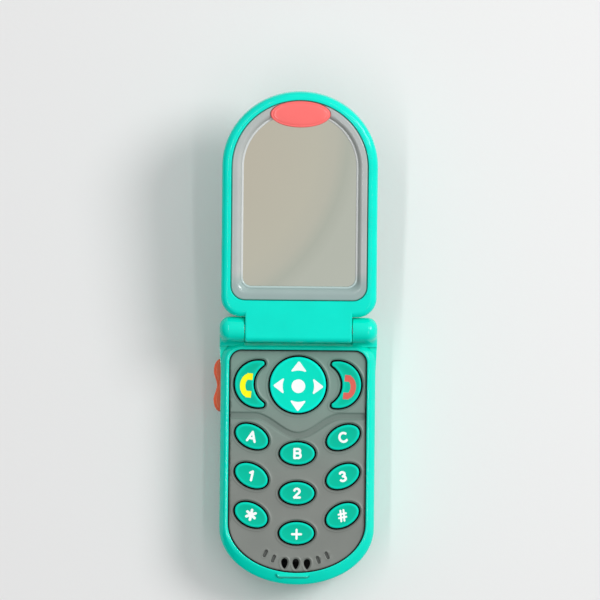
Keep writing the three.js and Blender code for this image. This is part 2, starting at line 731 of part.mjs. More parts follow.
// The silver frame round the mirror, sloping down to the glass.
function mirrorBezel() {
  const slope = { wide: 2.6, deep: 1.3, steps: 1, end: 'bottom' };
  const seat = oval(INNER_BADGE.rx + GAP, INNER_BADGE.ry + GAP, 28, 0, INNER_BADGE.y);
  return cut(
    easedPrism(archOutline(BEZEL), BEZEL_LOW, BEZEL_TOP, { wide: 0.5 }),
    prism(archOutline(GLASS), 0, 20),
    easedPrism(archOutline(GLASS, -2.6), 2.6, 10, slope),
    prism(archOutline(GLASS, -GLASS_LIP - GAP), 0, GLASS_TOP + GAP),
    prism(seat, INNER_BADGE.low - GAP, 20),
  );
}

function badge({ y, rx, ry, low, top }) {
  const end = top > low ? 'top' : 'bottom';
  const ease = { wide: 0.9, deep: 0.6, end };
  return easedPrism(oval(rx, ry, 28, 0, y), Math.min(low, top), Math.max(low, top), ease);
}

function latticePanel() {
  const hole = oval(OUTER_BADGE.rx + GAP, OUTER_BADGE.ry + GAP, 28, 0, OUTER_BADGE.y);
  return cut(prism(shieldOutline(), PANEL.face, PANEL.low), prism(hole, -20, 0));
}

const glassLow = GLASS_TOP - GLASS_THICK;
const padTop = glassLow - GAP;
const padOutline = archOutline(GLASS, -0.5);
piece('lid_inner_frame', lidInnerFrame(), LID_TEAL(), lid);
piece('lid_outer_shell', lidOuterShell(), LID_TEAL(), lid);
piece('mirror_bezel', mirrorBezel(), SILVER(), lid);
piece('mirror', prism(archOutline(GLASS, -GLASS_LIP), glassLow, GLASS_TOP), metal(0xc4c6bd, 0.05), lid);
piece('mirror_pad', prism(padOutline, padTop - 1, padTop), plastic(0xe6e4dc, 0.9), lid);
piece('inner_badge', badge(INNER_BADGE), CORAL(), lid);
piece('lattice_panel', latticePanel(), plastic(0xb9bbb8, 0.45), lid);
piece('outer_badge', badge(OUTER_BADGE), RED(), lid);

export default phone;
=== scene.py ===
import json
import math
from functools import partial

import bmesh
import bpy
import numpy as np
from mathutils import Matrix, Vector
from mathutils.geometry import delaunay_2d_cdt


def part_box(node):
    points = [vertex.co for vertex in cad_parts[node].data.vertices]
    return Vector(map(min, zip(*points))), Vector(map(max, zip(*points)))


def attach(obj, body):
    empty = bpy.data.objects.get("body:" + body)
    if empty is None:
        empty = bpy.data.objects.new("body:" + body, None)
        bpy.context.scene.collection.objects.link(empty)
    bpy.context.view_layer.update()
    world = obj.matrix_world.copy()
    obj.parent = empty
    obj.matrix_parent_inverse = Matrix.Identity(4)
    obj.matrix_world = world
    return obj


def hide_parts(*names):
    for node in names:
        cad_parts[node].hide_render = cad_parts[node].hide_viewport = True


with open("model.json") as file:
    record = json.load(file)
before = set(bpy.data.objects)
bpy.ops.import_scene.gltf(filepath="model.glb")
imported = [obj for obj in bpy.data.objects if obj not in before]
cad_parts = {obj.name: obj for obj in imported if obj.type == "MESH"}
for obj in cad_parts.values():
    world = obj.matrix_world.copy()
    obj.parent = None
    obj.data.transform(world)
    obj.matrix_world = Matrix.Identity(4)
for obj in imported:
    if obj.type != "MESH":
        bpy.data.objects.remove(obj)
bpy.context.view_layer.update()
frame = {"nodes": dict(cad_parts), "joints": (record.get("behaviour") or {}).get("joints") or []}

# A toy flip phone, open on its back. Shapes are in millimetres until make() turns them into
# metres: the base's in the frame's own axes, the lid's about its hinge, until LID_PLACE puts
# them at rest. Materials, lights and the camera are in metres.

MM = 0.001

# ---- sizes, from the frame

JOINTS = {joint["name"]: joint for joint in frame["joints"]}


def box_mm(node):
    low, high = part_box(node)
    return np.array(low) / MM, np.array(high) / MM


def middle_of(node):
    low, high = box_mm(node)
    return (low + high) / 2


AXIS_Z = JOINTS["lid_hinge"]["pos_m"][2] / MM
OPEN_TILT = 180 - JOINTS["lid_hinge"]["range_deg"][1]
LID_PLACE = Matrix.Translation((0, 0, AXIS_Z * MM)) @ Matrix.Rotation(math.radians(OPEN_TILT), 4, "X")
ROCKER_X, ROCKER_Y = (v / MM for v in JOINTS["side_button_rock"]["pos_m"][:2])
FRONT_LOW, FRONT_HIGH = box_mm("base_front_shell")
BACK_HIGH = box_mm("base_back_shell")[1]
FACE_LOW, FACE_HIGH = box_mm("keypad_faceplate")
COVER_LOW, COVER_HIGH = box_mm("battery_cover")
KEY_BOTTOM, KEY_TOP = (corner[2] for corner in box_mm("key_a"))
SCREWS = [middle_of(f"case_screw_{i}")[:2] for i in (1, 2, 3, 4)]
COVER_SCREW_Y = middle_of("battery_cover_screw")[1]
BARREL_R = 4.3
FRONT_Z = AXIS_Z - BARREL_R - 0.3

BASE = {"half": 27.1, "block": FRONT_HIGH[0], "end": FRONT_LOW[1], "length": 20.0, "top": BACK_HIGH[1],
        "corner": 3.6, "shoulder": (-9.0, -5.5)}
BEAD = {**BASE, "block": BASE["half"], "top": -4.2, "corner": 7.3, "shoulder": (-16, -14)}
FACE = {"half": FACE_HIGH[0], "block": FACE_HIGH[0], "end": FACE_LOW[1], "length": 17.0,
        "top": FACE_HIGH[1], "corner": 4.0, "shoulder": (-14, -12.5)}
EAR_IN = 18.9
EAR_R = 4.39
SEAM = 0.35
ROCKER_Z = (7.9, 14.9)

LID = {"half": 27.2, "low": 4.7, "corner": 6.8, "arch": 26.3}
BEZEL = {"half": 23.7, "low": 10.7, "corner": 4.9, "arch": 23.3}
GLASS = {"half": 19.9, "low": 15.2, "corner": 3.2, "arch": 19.2}
ARCH_Y = 57.3
LID_INNER = BARREL_R
LID_OUTER = -4.9
LID_SPLIT = 0.35
HALF_GAP = 0.12
TONGUE_HALF = 18.7
BEAD_LEVEL = LID_INNER - 1.95

OVAL = (6.05, 3.85)
OVAL_HOLE = (6.65, 4.45)
KEY_ROWS = {-27.0: ("key_a", "key_1", "key_star"), 0.0: ("key_b", "key_2", "key_plus"),
            27.0: ("key_c", "key_3", "key_hash")}
KEY_SPOTS = {name: (*middle_of(name)[:2], tilt) for tilt, names in KEY_ROWS.items() for name in names}
NAV_Y = -19.4
NAV_R = 9.8
NAV_HOLE = 10.4
FLANGE = 0.8
CRESCENT = {"left": -13.9, "middle": -7.7, "y": -19.2, "outer": 8.27, "inner": 7.78, "tip": 0.97}
CRESCENT_GAP = 0.5
CRESCENT_CAP = 0.1

PANEL = {"top": 11.2, "wide": 18.5, "wide_y": 27.0, "tip": 71.2, "low": -4.7}
SHIELD_OUT = -5.7
SHIELD_BORDER = 2.6
SHIELD_GAP = 0.15
INNER_BADGE = {"y": 75.9, "rx": 10.5, "ry": 4.65, "low": 3.2, "top": 4.45}
OUTER_BADGE = {"y": 26.0, "rx": 17.2, "ry": 5.5, "low": -4.7, "top": -6.5}

# ---- outlines


def smooth(t):
    """Eases from 0 to 1, flat at both ends."""
    return t**2 * (3 - 2 * t)


def arc(cx, cy, rx, ry, start, end, steps=14):
    angles = np.radians(np.linspace(start, end, steps + 1))
    return np.stack([cx + rx * np.cos(angles), cy + ry * np.sin(angles)], 1)


def chain(*parts):
    """Points and rows of points as one row."""
    return np.concatenate([np.atleast_2d(part) for part in parts])


def between(a, b, steps):
    """Points on the line from a to b, without its ends."""
    t = np.linspace(0, 1, steps + 1)[1:-1, None]
    return (1 - t) * a + t * b


def bezier(a, b, c, d, steps):
    t = np.linspace(0, 1, steps + 1)[:, None]
    return (1 - t) ** 3 * a + 3 * (1 - t) ** 2 * t * b + 3 * (1 - t) * t**2 * c + t**3 * d


def turned(points, tilt, x, y):
    """The points turned anticlockwise by tilt degrees, then moved by x and y."""
    c, s = math.cos(math.radians(tilt)), math.sin(math.radians(tilt))
    return points @ np.array([[c, s], [-s, c]]) + (x, y)


def ellipse(cx, cy, rx, ry, steps, tilt=0.0):
    return turned(arc(0, 0, rx, ry, 0, 360, steps)[:-1], tilt, cx, cy)


def oval_at(x, y, steps, rx=0.0, ry=0.0, tilt=0.0):
    """An ellipse as a function of how far it grows past rx and ry."""
    return lambda grow=0.0: ellipse(x, y, rx + grow, ry + grow, steps, tilt)


def round_box(x0, x1, y0, y1, corner, steps=6):
    """A rectangle with round corners."""
    xs, ys = (x0 + corner, x1 - corner), (y0 + corner, y1 - corner)
    centres = ((xs[1], ys[0]), (xs[1], ys[1]), (xs[0], ys[1]), (xs[0], ys[0]))
    arcs = [arc(x, y, corner, corner, 90 * i - 90, 90 * i, steps) for i, (x, y) in enumerate(centres)]
    return chain(*arcs)


def mirrored(*parts):
    """A closed outline from its right half, which starts and ends on the centre line."""
    right = chain(*parts)
    return chain(right, right[1:-1][::-1] * (-1, 1))


def on_side(points, side):
    """An outline drawn for the left (side -1), turned over for the right (side 1)."""
    return points if side < 0 else (points * (-1, 1))[::-1]


def bar_outline(shape, inset=0.0):
    """A bar with an elliptical lower end and a square upper end with round corners. It is
    half wide on each side, easing to block over the shoulder."""
    half, block, length = (shape[key] - inset for key in ("half", "block", "length"))
    end, top = shape["end"] + inset, shape["top"] - inset
    corner = max(shape["corner"] - inset, 0.25)
    y0, y1 = shape["shoulder"]
    t = np.linspace(0, 1, 7)
    slope = np.stack([half + (block - half) * smooth(t), y0 + (y1 - y0) * t], 1)
    return mirrored(
        arc(0, end + length, half, length, 270, 360, 40),
        between((half, end + length), slope[0], 10),
        slope,
        between(slope[-1], (block, top - corner), 3),
        arc(block - corner, top - corner, corner, corner, 0, 90, 10),
        between((block - corner, top), (0, top), 8),
        (0, top),
    )


def arch_outline(shape, inset=0.0):
    """A lid outline: square hinge end with round corners, straight sides, round far end."""
    side, low = shape["half"] - inset, shape["low"] + inset
    corner = max(shape["corner"] - inset, 0.3)
    return mirrored(
        (0, low),
        between((0, low), (side - corner, low), 8),
        arc(side - corner, low + corner, corner, corner, -90, 0, 12),
        between((side, low + corner), (side, ARCH_Y), 12),
        arc(0, ARCH_Y, side, shape["arch"] - inset, 0, 90, 44),
    )


base_outline, bead_outline, face_outline = (partial(bar_outline, shape) for shape in (BASE, BEAD, FACE))
lid_outline, bezel_outline, glass_outline = (partial(arch_outline, shape) for shape in (LID, BEZEL, GLASS))


def shield_outline(grow=0.0):
    """The panel on the outside of the lid: round towards the hinge, pointed at the tip."""
    wide, tip, y = PANEL["wide"] + grow, PANEL["tip"] + grow, PANEL["wide_y"]
    near_tip = (3.6, tip - 1.9)
    return mirrored(
        arc(0, y, wide, y - PANEL["top"] + grow, -90, 0, 32),
        bezier((wide, y), (wide, y + 15), (9.3 + grow, tip - 9), near_tip, 40)[1:],
        bezier(near_tip, (2.4, tip - 0.5), (1.1, tip), (0, tip), 8)[1:],
    )


def badge_seat(badge, steps):
    """The opening that a badge sits in, a little wider than the badge."""
    return ellipse(0, badge["y"], badge["rx"] + 0.2, badge["ry"] + 0.2, steps)


def crescent_outline(grow=0.0, side=-1):
    """A crescent key: outer arc, concave inner arc, round tips."""
    left, middle, y, outer, inner, tip = CRESCENT.values()
    outer, inner, tip, apart = outer + grow, inner - grow, tip + grow, middle - left
    tip_x = ((outer - tip) ** 2 - (inner + tip) ** 2 + apart**2) / (2 * apart)
    tip_y = math.sqrt((outer - tip) ** 2 - tip_x**2)
    out = math.degrees(math.atan2(tip_y, tip_x))
    back = math.degrees(math.atan2(tip_y, tip_x - apart))
    points = chain(
        arc(left, y, outer, outer, out, 360 - out, 40),
        arc(left + tip_x, y - tip_y, tip, tip, -out, 180 - back, 10)[1:],
        arc(middle, y, inner, inner, 360 - back, back, 26)[1:],
        arc(left + tip_x, y + tip_y, tip, tip, back - 180, out, 10)[1:-1],
    )
    return on_side(points, side)


def ring(outline, z):
    """The outline at height z, which is one number or one for each point."""
    return np.column_stack([outline, np.broadcast_to(z, len(outline))])


def stack(outline, levels):
    """Rings of outline(inset) at z, for each (inset, z)."""
    return [ring(outline(inset), z) for inset, z in levels]


def rounding(inset, z, wide, deep, steps):
    """(inset, z) of a quarter-ellipse edge, from its wall to its face at z, which looks up
    where deep is above 0 and down where it is below."""
    angles = np.linspace(0, math.pi / 2, steps + 1)
    return [(inset + wide * (1 - math.cos(a)), z - deep * (1 - math.sin(a))) for a in angles]


# ---- meshes


def loft(rings, closed=False):
    """Quads between rings of equal length; the ends are capped unless the loft is closed."""
    count = len(rings[0])
    index = np.arange(count)
    ahead = np.roll(index, -1)
    faces = []
    for span in range(len(rings) if closed else len(rings) - 1):
        a, b = span * count, (span + 1) % len(rings) * count
        faces += np.stack([a + index, a + ahead, b + ahead, b + index], 1).tolist()
    if not closed:
        last = (len(rings) - 1) * count
        faces += [index[::-1].tolist(), (last + index).tolist()]
    return np.concatenate(rings), faces


def prism(outline, z0, z1):
    return loft([ring(outline, z0), ring(outline, z1)])


def domed(rings, centre):
    """A loft whose last ring closes on one centre point."""
    verts, faces = loft(rings)
    rim = faces.pop()
    faces += [[a, b, len(verts)] for a, b in zip(rim, rim[1:] + rim[:1])]
    return np.vstack([verts, centre]), faces


def along_x(stations, section):
    """A solid from outlines section(inset) in y and z, one at x for each (x, inset)."""
    return loft([ring(section(inset), x)[:, [2, 0, 1]] for x, inset in stations])


def rod(radius, start, end, z=0.0):
    return along_x([(start, 0), (end, 0)], lambda inset: ellipse(0, z, radius, radius, 48))


def joined(first, second):
    """Two (verts, faces) pairs as one."""
    start = len(first[0])
    faces = [[start + i for i in face] for face in second[1]]
    return np.concatenate([first[0], second[0]]), first[1] + faces


def inside(polygon, points):
    """Which of the points lie inside the closed polygon."""
    x, y = points.T[..., None]
    a, b = polygon, np.roll(polygon, -1, 0)
    crosses = (a[:, 1] > y) != (b[:, 1] > y)
    with np.errstate(divide="ignore", invalid="ignore"):
        at = (b[:, 0] - a[:, 0]) * (y - a[:, 1]) / (b[:, 1] - a[:, 1]) + a[:, 0]
    return (crosses & (x < at)).sum(1) % 2 == 1


def in_any(polygons, points):
    return np.any([inside(polygon, points) for polygon in polygons], axis=0)


def on_plate(outline, holes, points):
    """Which of the points lie inside the outline and in none of the holes."""
    return inside(outline, points) & ~in_any(holes, points)


def in_chunks(measure, points):
    """measure(points), a few thousand points at a time to spare memory."""
    return np.concatenate([measure(part) for part in np.array_split(points, len(points) // 3000 + 1)])


def distance(points, curve, closed=True):
    """Distance of each point to a polyline."""
    a, b = (curve, np.roll(curve, -1, 0)) if closed else (curve[:-1], curve[1:])
    span = b - a
    length = np.maximum((span**2).sum(1), 1e-12)

    def measure(part):
        p = part[:, None]
        t = np.clip(((p - a) * span).sum(2) / length, 0, 1)
        return np.linalg.norm(p - (a + t[..., None] * span), axis=2).min(1)

    return in_chunks(measure, points)


def nearest(points, others):
    """Distance of each point to the nearest of the others."""
    return in_chunks(lambda part: np.sqrt(((part[:, None] - others) ** 2).sum(2).min(1)), points)


def triangles(polygons, extra, keep):
    """Triangulates the polygons and the extra points; keep picks triangles by their centre."""
    edges, start = [], 0
    for polygon in polygons:
        count = len(polygon)
        edges += [(start + i, start + (i + 1) % count) for i in range(count)]
        start += count
    points = chain(*polygons, extra) if len(extra) else chain(*polygons)
    verts, _, faces, *_ = delaunay_2d_cdt([Vector(p) for p in points.tolist()], edges, [], 0, 1e-6, False)
    verts = np.array([tuple(v) for v in verts])
    faces = np.array([face for face in faces if len(face) == 3])
    return verts, faces[keep(verts[faces].mean(1))]


def slab(polygons, keep, top, bottom, extra=()):
    """A closed solid over the kept area, between the heights top(points) and bottom(points)."""
    verts, faces = triangles(polygons, extra, keep)
    under_verts, under_faces = triangles(polygons, (), keep) if len(extra) else (verts, faces)
    sides = np.concatenate([faces[:, [0, 1]], faces[:, [1, 2]], faces[:, [2, 0]]]).tolist()
    seen = {tuple(side) for side in sides}
    a, b = np.array([side for side in sides if (side[1], side[0]) not in seen]).T
    count = len(verts)
    walls = np.stack([b, a, count + a, count + b], 1)
    under = under_faces[:, ::-1] + 2 * count
    whole = [ring(verts, top(verts)), ring(verts, bottom(verts)), ring(under_verts, bottom(under_verts))]
    return np.concatenate(whole), faces.tolist() + walls.tolist() + under.tolist()


def grid(polygon, spacing, avoid, clear):
    """Staggered grid points inside a polygon, further than clear from the points to avoid."""
    low, high = polygon.min(0), polygon.max(0)
    rows = []
    for i, y in enumerate(np.arange(low[1] + spacing / 2, high[1], spacing * 0.87)):
        xs = np.arange(low[0] + spacing * (0.25 + 0.5 * (i % 2)), high[0], spacing)
        rows.append(np.stack([xs, np.full(len(xs), y)], 1))
    points = np.concatenate(rows)
    points = points[inside(polygon, points)]
    return points[nearest(points, avoid) > clear]


def link(name, data):
    obj = bpy.data.objects.new(name, data)
    bpy.context.scene.collection.objects.link(obj)
    return obj


def make(name, shape, place=Matrix()):
    """An object from (verts, faces), its faces pointing out, with no doubled or loose vertices."""
    verts, faces = shape
    mesh = bpy.data.meshes.new(name)
    mesh.from_pydata((np.asarray(verts) * MM).tolist(), [], faces)
    work = bmesh.new()
    work.from_mesh(mesh)
    bmesh.ops.remove_doubles(work, verts=work.verts, dist=1e-7)
    bmesh.ops.delete(work, geom=[v for v in work.verts if not v.link_faces], context="VERTS")
    bmesh.ops.recalc_face_normals(work, faces=work.faces)
    work.transform(place)
    work.to_mesh(mesh)
    work.free()
    return link(name, mesh)


def carve(operation, obj, *tools):
    """Joins or cuts obj with other shapes in turn, and keeps the result as its mesh."""
    for tool in tools:
        helper = make("tool", tool)
        modifier = obj.modifiers.new("carve", "BOOLEAN")
        modifier.operation = operation
        modifier.solver = "EXACT"
        modifier.object = helper
        depsgraph = bpy.context.evaluated_depsgraph_get()
        result = bpy.data.meshes.new_from_object(obj.evaluated_get(depsgraph))
        obj.modifiers.clear()
        obj.data = result
        bpy.data.objects.remove(helper)
    return obj


cut = partial(carve, "DIFFERENCE")
fuse = partial(carve, "UNION")


def points_of(obj):
    return np.array([v.co[:] for v in obj.data.vertices]) / MM


def write_layer(obj, name, values):
    layer = obj.data.attributes.new(name, "FLOAT", "POINT")
    layer.data.foreach_set("value", np.asarray(values, np.float32))


def finish_piece(obj, material, body, replaces, sharp, weighted=False):
    """Shading, material, body and the CAD nodes that the piece stands for."""
    mesh = obj.data
    mesh.materials.clear()
    mesh.materials.append(material)
    for polygon in mesh.polygons:
        polygon.use_smooth = True
        polygon.material_index = 0
    mesh.set_sharp_from_angle(angle=math.radians(sharp))
    if weighted:
        obj.modifiers.new("even_normals", "WEIGHTED_NORMAL").keep_sharp = True
    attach(obj, body)
    if replaces:
        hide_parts(*replaces)


# ---- materials

# the sockets of a Mix node that mixes colours
MIX_A, MIX_B, MIX_OUT = 6, 7, 2
# painted shade: the near-black that the deep layer mixes into gaps, seams and recesses
GAP_SHADE = (0.004, 0.006, 0.006)


def add(tree, kind, **settings):
    """A shader node, with its sockets (To_Min for To Min) and its own settings by name."""
    node = tree.nodes.new("ShaderNode" + kind)
    for key, value in settings.items():
        socket = key.replace("_", " ")
        if socket in node.inputs:
            node.inputs[socket].default_value = value
        else:
            setattr(node, key, value)
    return node


def wire(source, output, target, entry):
    source.id_data.links.new(source.outputs[output], target.inputs[entry])
    return target


def new_material(name, colour, roughness, metallic=0.0, specular=0.35):
    material = bpy.data.materials.new(name)
    material.use_nodes = True
    shader = material.node_tree.nodes["Principled BSDF"]
    shader.inputs["Base Color"].default_value = (*colour, 1)
    shader.inputs["Roughness"].default_value = roughness
    shader.inputs["Metallic"].default_value = metallic
    shader.inputs["Specular IOR Level"].default_value = specular
    return material, shader


def noise(tree, scale, detail):
    """A noise texture in metres, so scale is the number of features in a metre."""
    texture = add(tree, "TexNoise", Scale=scale, Detail=detail)
    return wire(add(tree, "TexCoord"), "Object", texture, "Vector")


def coloured_by(source, output, shader, stops):
    """Gives the shader a colour ramp of (position, colour) stops along an output."""
    ramp = add(shader.id_data, "ValToRGB")
    elements = ramp.color_ramp.elements
    for i, (at, colour) in enumerate(stops):
        stop = elements[i] if i < len(elements) else elements.new(at)
        stop.position = at
        stop.color = (*colour, 1)
    wire(wire(source, output, ramp, "Fac"), "Color", shader, "Base Color")


def tinted(shader, colour, scale, amount):
    """Slight uneven colour, as in moulded plastic."""
    low = [c * (1 - amount) for c in colour]
    high = [min(1.0, c * (1 + amount)) for c in colour]
    coloured_by(noise(shader.id_data, scale, 3.0), "Fac", shader, ((0.3, low), (0.7, high)))


def uneven_gloss(shader, roughness, scale, amount):
    tree, low = shader.id_data, max(0.02, roughness - amount)
    spread = add(tree, "MapRange", To_Min=low, To_Max=roughness + amount)
    wire(wire(noise(tree, scale, 4.0), "Fac", spread, "Value"), "Result", shader, "Roughness")


def grained(shader, layers):
    """Bump from layers of (features per metre, depth in metres)."""
    previous = None
    for scale, depth in layers:
        bump = add(shader.id_data, "Bump", Strength=1.0, Distance=depth)
        wire(noise(shader.id_data, scale, 3.0), "Fac", bump, "Height")
        if previous:
            wire(previous, "Normal", bump, "Normal")
        previous = bump
    wire(previous, "Normal", shader, "Normal")


def mixed(shader, colour, factor, output, **settings):
    """Mixes the shader's colour with a second one, by one of a node's outputs."""
    mix = add(shader.id_data, "Mix", data_type="RGBA", **settings)
    mix.inputs[MIX_B].default_value = (*colour, 1)
    before = shader.inputs["Base Color"].links[0].from_socket
    shader.id_data.links.new(before, mix.inputs[MIX_A])
    wire(wire(factor, output, mix, 0), MIX_OUT, shader, "Base Color")


def plastic(name, colour, roughness=0.28, grain=((260, 2e-5), (5200, 1.2e-6)), tint=0.035, coat=0.0,
            specular=0.35, edge=None, deep=False, painted_cast=None):
    """Injection-moulded plastic: faint flow marks, a fine skin and slightly uneven gloss, with
    a painted highlight on edges or painted shade deep in gaps where the mesh says so. A cast
    of painted light or shade (start, end, colour) multiplies it by a second colour, growing
    from start to end in metres along Y."""
    material, shader = new_material(name, colour, roughness, specular=specular)
    tinted(shader, colour, 90, tint)
    uneven_gloss(shader, roughness, 420, 0.02)
    grained(shader, grain)
    shader.inputs["Coat Weight"].default_value = coat
    shader.inputs["Coat Roughness"].default_value = 0.08
    tree = material.node_tree
    # the edge layer mixes in a painted highlight, the deep layer painted shade
    for layer, layer_colour in (("edge", edge), ("deep", GAP_SHADE if deep else None)):
        if layer_colour:
            mixed(shader, layer_colour, add(tree, "Attribute", attribute_name=layer), "Fac")
    # a cast of painted light or shade, growing along Y
    if painted_cast:
        start, end, painted_cast_colour = painted_cast
        where, parts = add(tree, "TexCoord"), add(tree, "SeparateXYZ")
        spread = add(tree, "MapRange", From_Min=start, From_Max=end)
        spread.interpolation_type = "SMOOTHSTEP"
        wire(wire(where, "Object", parts, 0), "Y", spread, "Value")
        mixed(shader, painted_cast_colour, spread, "Result", blend_type="MULTIPLY")
    return material


def metal(name, colour, roughness):
    material, shader = new_material(name, colour, roughness, metallic=1.0)
    tinted(shader, colour, 300, 0.06)
    uneven_gloss(shader, roughness, 1200, 0.08)
    grained(shader, ((900, 4e-6), (9000, 1.5e-6)))
    return material


def mirror_sheet():
    """Mirrored acrylic with a painted reflection: warm on one side and greener on the other, with a
    faint darker band between, the ripple of a thin sheet and slightly uneven gloss."""
    material, shader = new_material("mirror_acrylic", (0.95, 0.93, 0.8), 0.05, metallic=1.0)
    tree = material.node_tree
    reach = add(tree, "VectorMath", operation="DISTANCE")
    reach.inputs[1].default_value = (-0.049, 0.068, 0.03)
    spread = add(tree, "MapRange", From_Min=0.030, From_Max=0.090)
    wire(wire(add(tree, "TexCoord"), "Object", reach, 0), "Value", spread, "Value")
    coloured_by(spread, "Result", shader, (
        (0.0, (1.0, 0.93, 0.76)), (0.42, (1.0, 0.97, 0.80)), (0.53, (0.96, 0.95, 0.80)),
        (0.60, (0.86, 0.90, 0.77)), (0.68, (0.93, 0.97, 0.84)), (1.0, (0.94, 0.99, 0.86))))
    uneven_gloss(shader, 0.06, 150, 0.015)
    grained(shader, ((35, 6e-5),))
    return material


KEY_GRAIN = ((300, 1e-5), (7000, 1.5e-6))
TRIM_GRAIN = ((800, 4e-6), (8000, 3e-6))
INK_GRAIN = ((6000, 2e-6),)
LID_TEAL = plastic("teal_lid", (0.0, 0.79, 0.62), 0.1, specular=0.22)
BASE_TEAL = plastic("teal_base", (0.0, 0.76, 0.575), 0.1, specular=0.24, deep=True)
# a darker, shaded copy of the teal for the keys, with a painted highlight on their edges and painted shade
# down their sides
SHADED_KEY_TEAL = plastic("teal_keys_shaded", (0.0, 0.50, 0.335), 0.34, KEY_GRAIN, specular=0.06,
                   edge=(0.0, 0.74, 0.55), deep=True)
# the pad's own teal, with a painted highlight on its edge and painted shade down its sides
NAV_TEAL = plastic("teal_pad", (0.0, 0.75, 0.55), 0.34, KEY_GRAIN, specular=0.06,
                   edge=(0.0, 0.92, 0.74), deep=True)
# painted reflection and light: the faceplate turns greener and lighter towards the hinge end; painted shade
# in its holes, groove and marks
FACE_GREY = plastic("grey_faceplate", (0.2, 0.215, 0.197), 0.38, ((700, 6e-6), (9000, 5e-6)), 0.05,
                    deep=True, painted_cast=(-0.06, -0.01, (0.9, 1.32, 1.24)))
# painted highlight on the bead round the glass; painted shade makes the bezel darker and greener towards
# its hinge end
SILVER = plastic("silver_bezel", (0.45, 0.48, 0.47), 0.14, TRIM_GRAIN, specular=0.5,
                 edge=(0.62, 0.65, 0.64), painted_cast=(0.021, 0.015, (0.7, 0.86, 0.85)))
PANEL_GREY = plastic("grey_panel", (0.5, 0.51, 0.5), 0.36, TRIM_GRAIN)
CORAL = plastic("coral_badge", (1.0, 0.17, 0.16), 0.2, coat=0.2)
RED = plastic("red_badge", (0.86, 0.05, 0.04), 0.2, coat=0.3)
BUTTON_RED = plastic("red_button", (1.0, 0.15, 0.06), 0.25)
WHITE_PRINT = plastic("white_print", (0.95, 0.97, 0.97), 0.5, INK_GRAIN, 0.02, specular=0.2)
YELLOW_PRINT = plastic("yellow_print", (0.98, 0.95, 0.0), 0.5, INK_GRAIN, 0.03, specular=0.2)
CORAL_PRINT = plastic("coral_print", (0.68, 0.115, 0.09), 0.5, INK_GRAIN, 0.06, specular=0.2)
BLACK = plastic("black_plastic", (0.02, 0.02, 0.022), 0.42, ((900, 8e-6), (6000, 3e-6)))
SILICONE = plastic("silicone", (0.6, 0.6, 0.56), 0.62, ((1500, 8e-6),))
BOARD = plastic("solder_mask", (0.02, 0.15, 0.05), 0.35, ((2500, 8e-6),), 0.15)
FOAM = plastic("foam", (0.7, 0.68, 0.62), 0.85, ((4000, 6e-5),), 0.08)
STEEL = metal("nickel_steel", (0.62, 0.62, 0.6), 0.28)
CELL = metal("cell_jacket", (0.2, 0.21, 0.24), 0.36)
MIRROR = mirror_sheet()

CAD_LOOKS = {
    MIRROR: ("mirror",),
    FOAM: ("mirror_pad",),
    SILICONE: ("keypad_membrane",),
    BOARD: ("circuit_board",),
    BLACK: ("speaker", "side_switch_lower", "side_switch_upper"),
    CELL: ("battery_left", "battery_right"),
    STEEL: ("battery_spring_left", "battery_spring_right", "contact_bridge", "contact_negative",
            "contact_positive", "power_switch_body", "hinge_pin_left", "hinge_pin_right"),
}
for look, nodes in CAD_LOOKS.items():
    for node in nodes:
        materials = frame["nodes"][node].data.materials
        materials.clear()
        materials.append(look)

# ---- lid


def tongue():
    """The hinge's knuckle and the flat tongue that joins it to the lid's rim."""
    reach, back, foot, corner, soft = LID["low"] + 3.0, LID["low"] - 0.4, 0.5, 2.2, 0.6

    def section(inset):
        r, bend = BARREL_R - inset, corner - inset
        return chain(
            arc(0, 0, r, r, 270, 180, 16),
            arc(corner - BARREL_R, BARREL_R - corner, bend, bend, 180, 90, 12),
            [(reach, r), (reach, foot), (back, foot), (back, -r)],
        )

    angles = np.linspace(0, math.pi / 2, 7)
    stations = [(soft * (1 - math.cos(a)) - TONGUE_HALF, soft * (1 - math.sin(a))) for a in angles]
    stations += [(-x, inset) for x, inset in reversed(stations)]
    return along_x(stations, section)


def lid_frame():
    """The inner half of the lid: a round-edged rim about the bezel, joined to the hinge's
    tongue and barrel, with a hole for each hinge pin."""
    low = LID_SPLIT + HALF_GAP
    soft = rounding(0, LID_INNER, 2.4, 2.2, 12)
    rings = stack(lid_outline, [(0.2, low), (0, low + 0.2), (0, 1.0), *soft])
    rings += stack(bezel_outline, [
        (-0.5, LID_INNER), (-0.35, LID_INNER - 0.06), (-0.24, LID_INNER - 0.22), (-0.2, LID_INNER - 0.45),
        (-0.2, 1.35), (2.1, 1.3), (2.1, low)])
    obj = fuse(make("lid_rim", loft(rings, closed=True)), tongue())
    cut(obj, *(rod(1.65, side * 12.6, side * 19.5) for side in (-1, 1)))
    obj.data.transform(LID_PLACE)
    return obj


def lid_shell():
    """The outer half: a shallow dish with a soft edge, the raised shield and its pocket."""
    high = LID_SPLIT - HALF_GAP
    back = loft(stack(lid_outline, [
        (0.2, high), (0, high - 0.2), *rounding(0, LID_OUTER, 4.2, -3.6, 12), (7, LID_OUTER)]))
    crest = [(SHIELD_BORDER - inset, z) for inset, z in rounding(0.1, SHIELD_OUT, 1.1, -0.75, 7)]
    pocket = [(SHIELD_GAP + grow, SHIELD_OUT + fall) for grow, fall in ((0.4, 0), (0.12, 0.1), (0, 0.3))]
    rise = stack(shield_outline, [
        (SHIELD_BORDER, LID_OUTER + 0.4), *crest, *pocket, (SHIELD_GAP, LID_OUTER + 0.45)])
    return make("lid_back", joined(back, loft(rise, closed=True)), LID_PLACE)


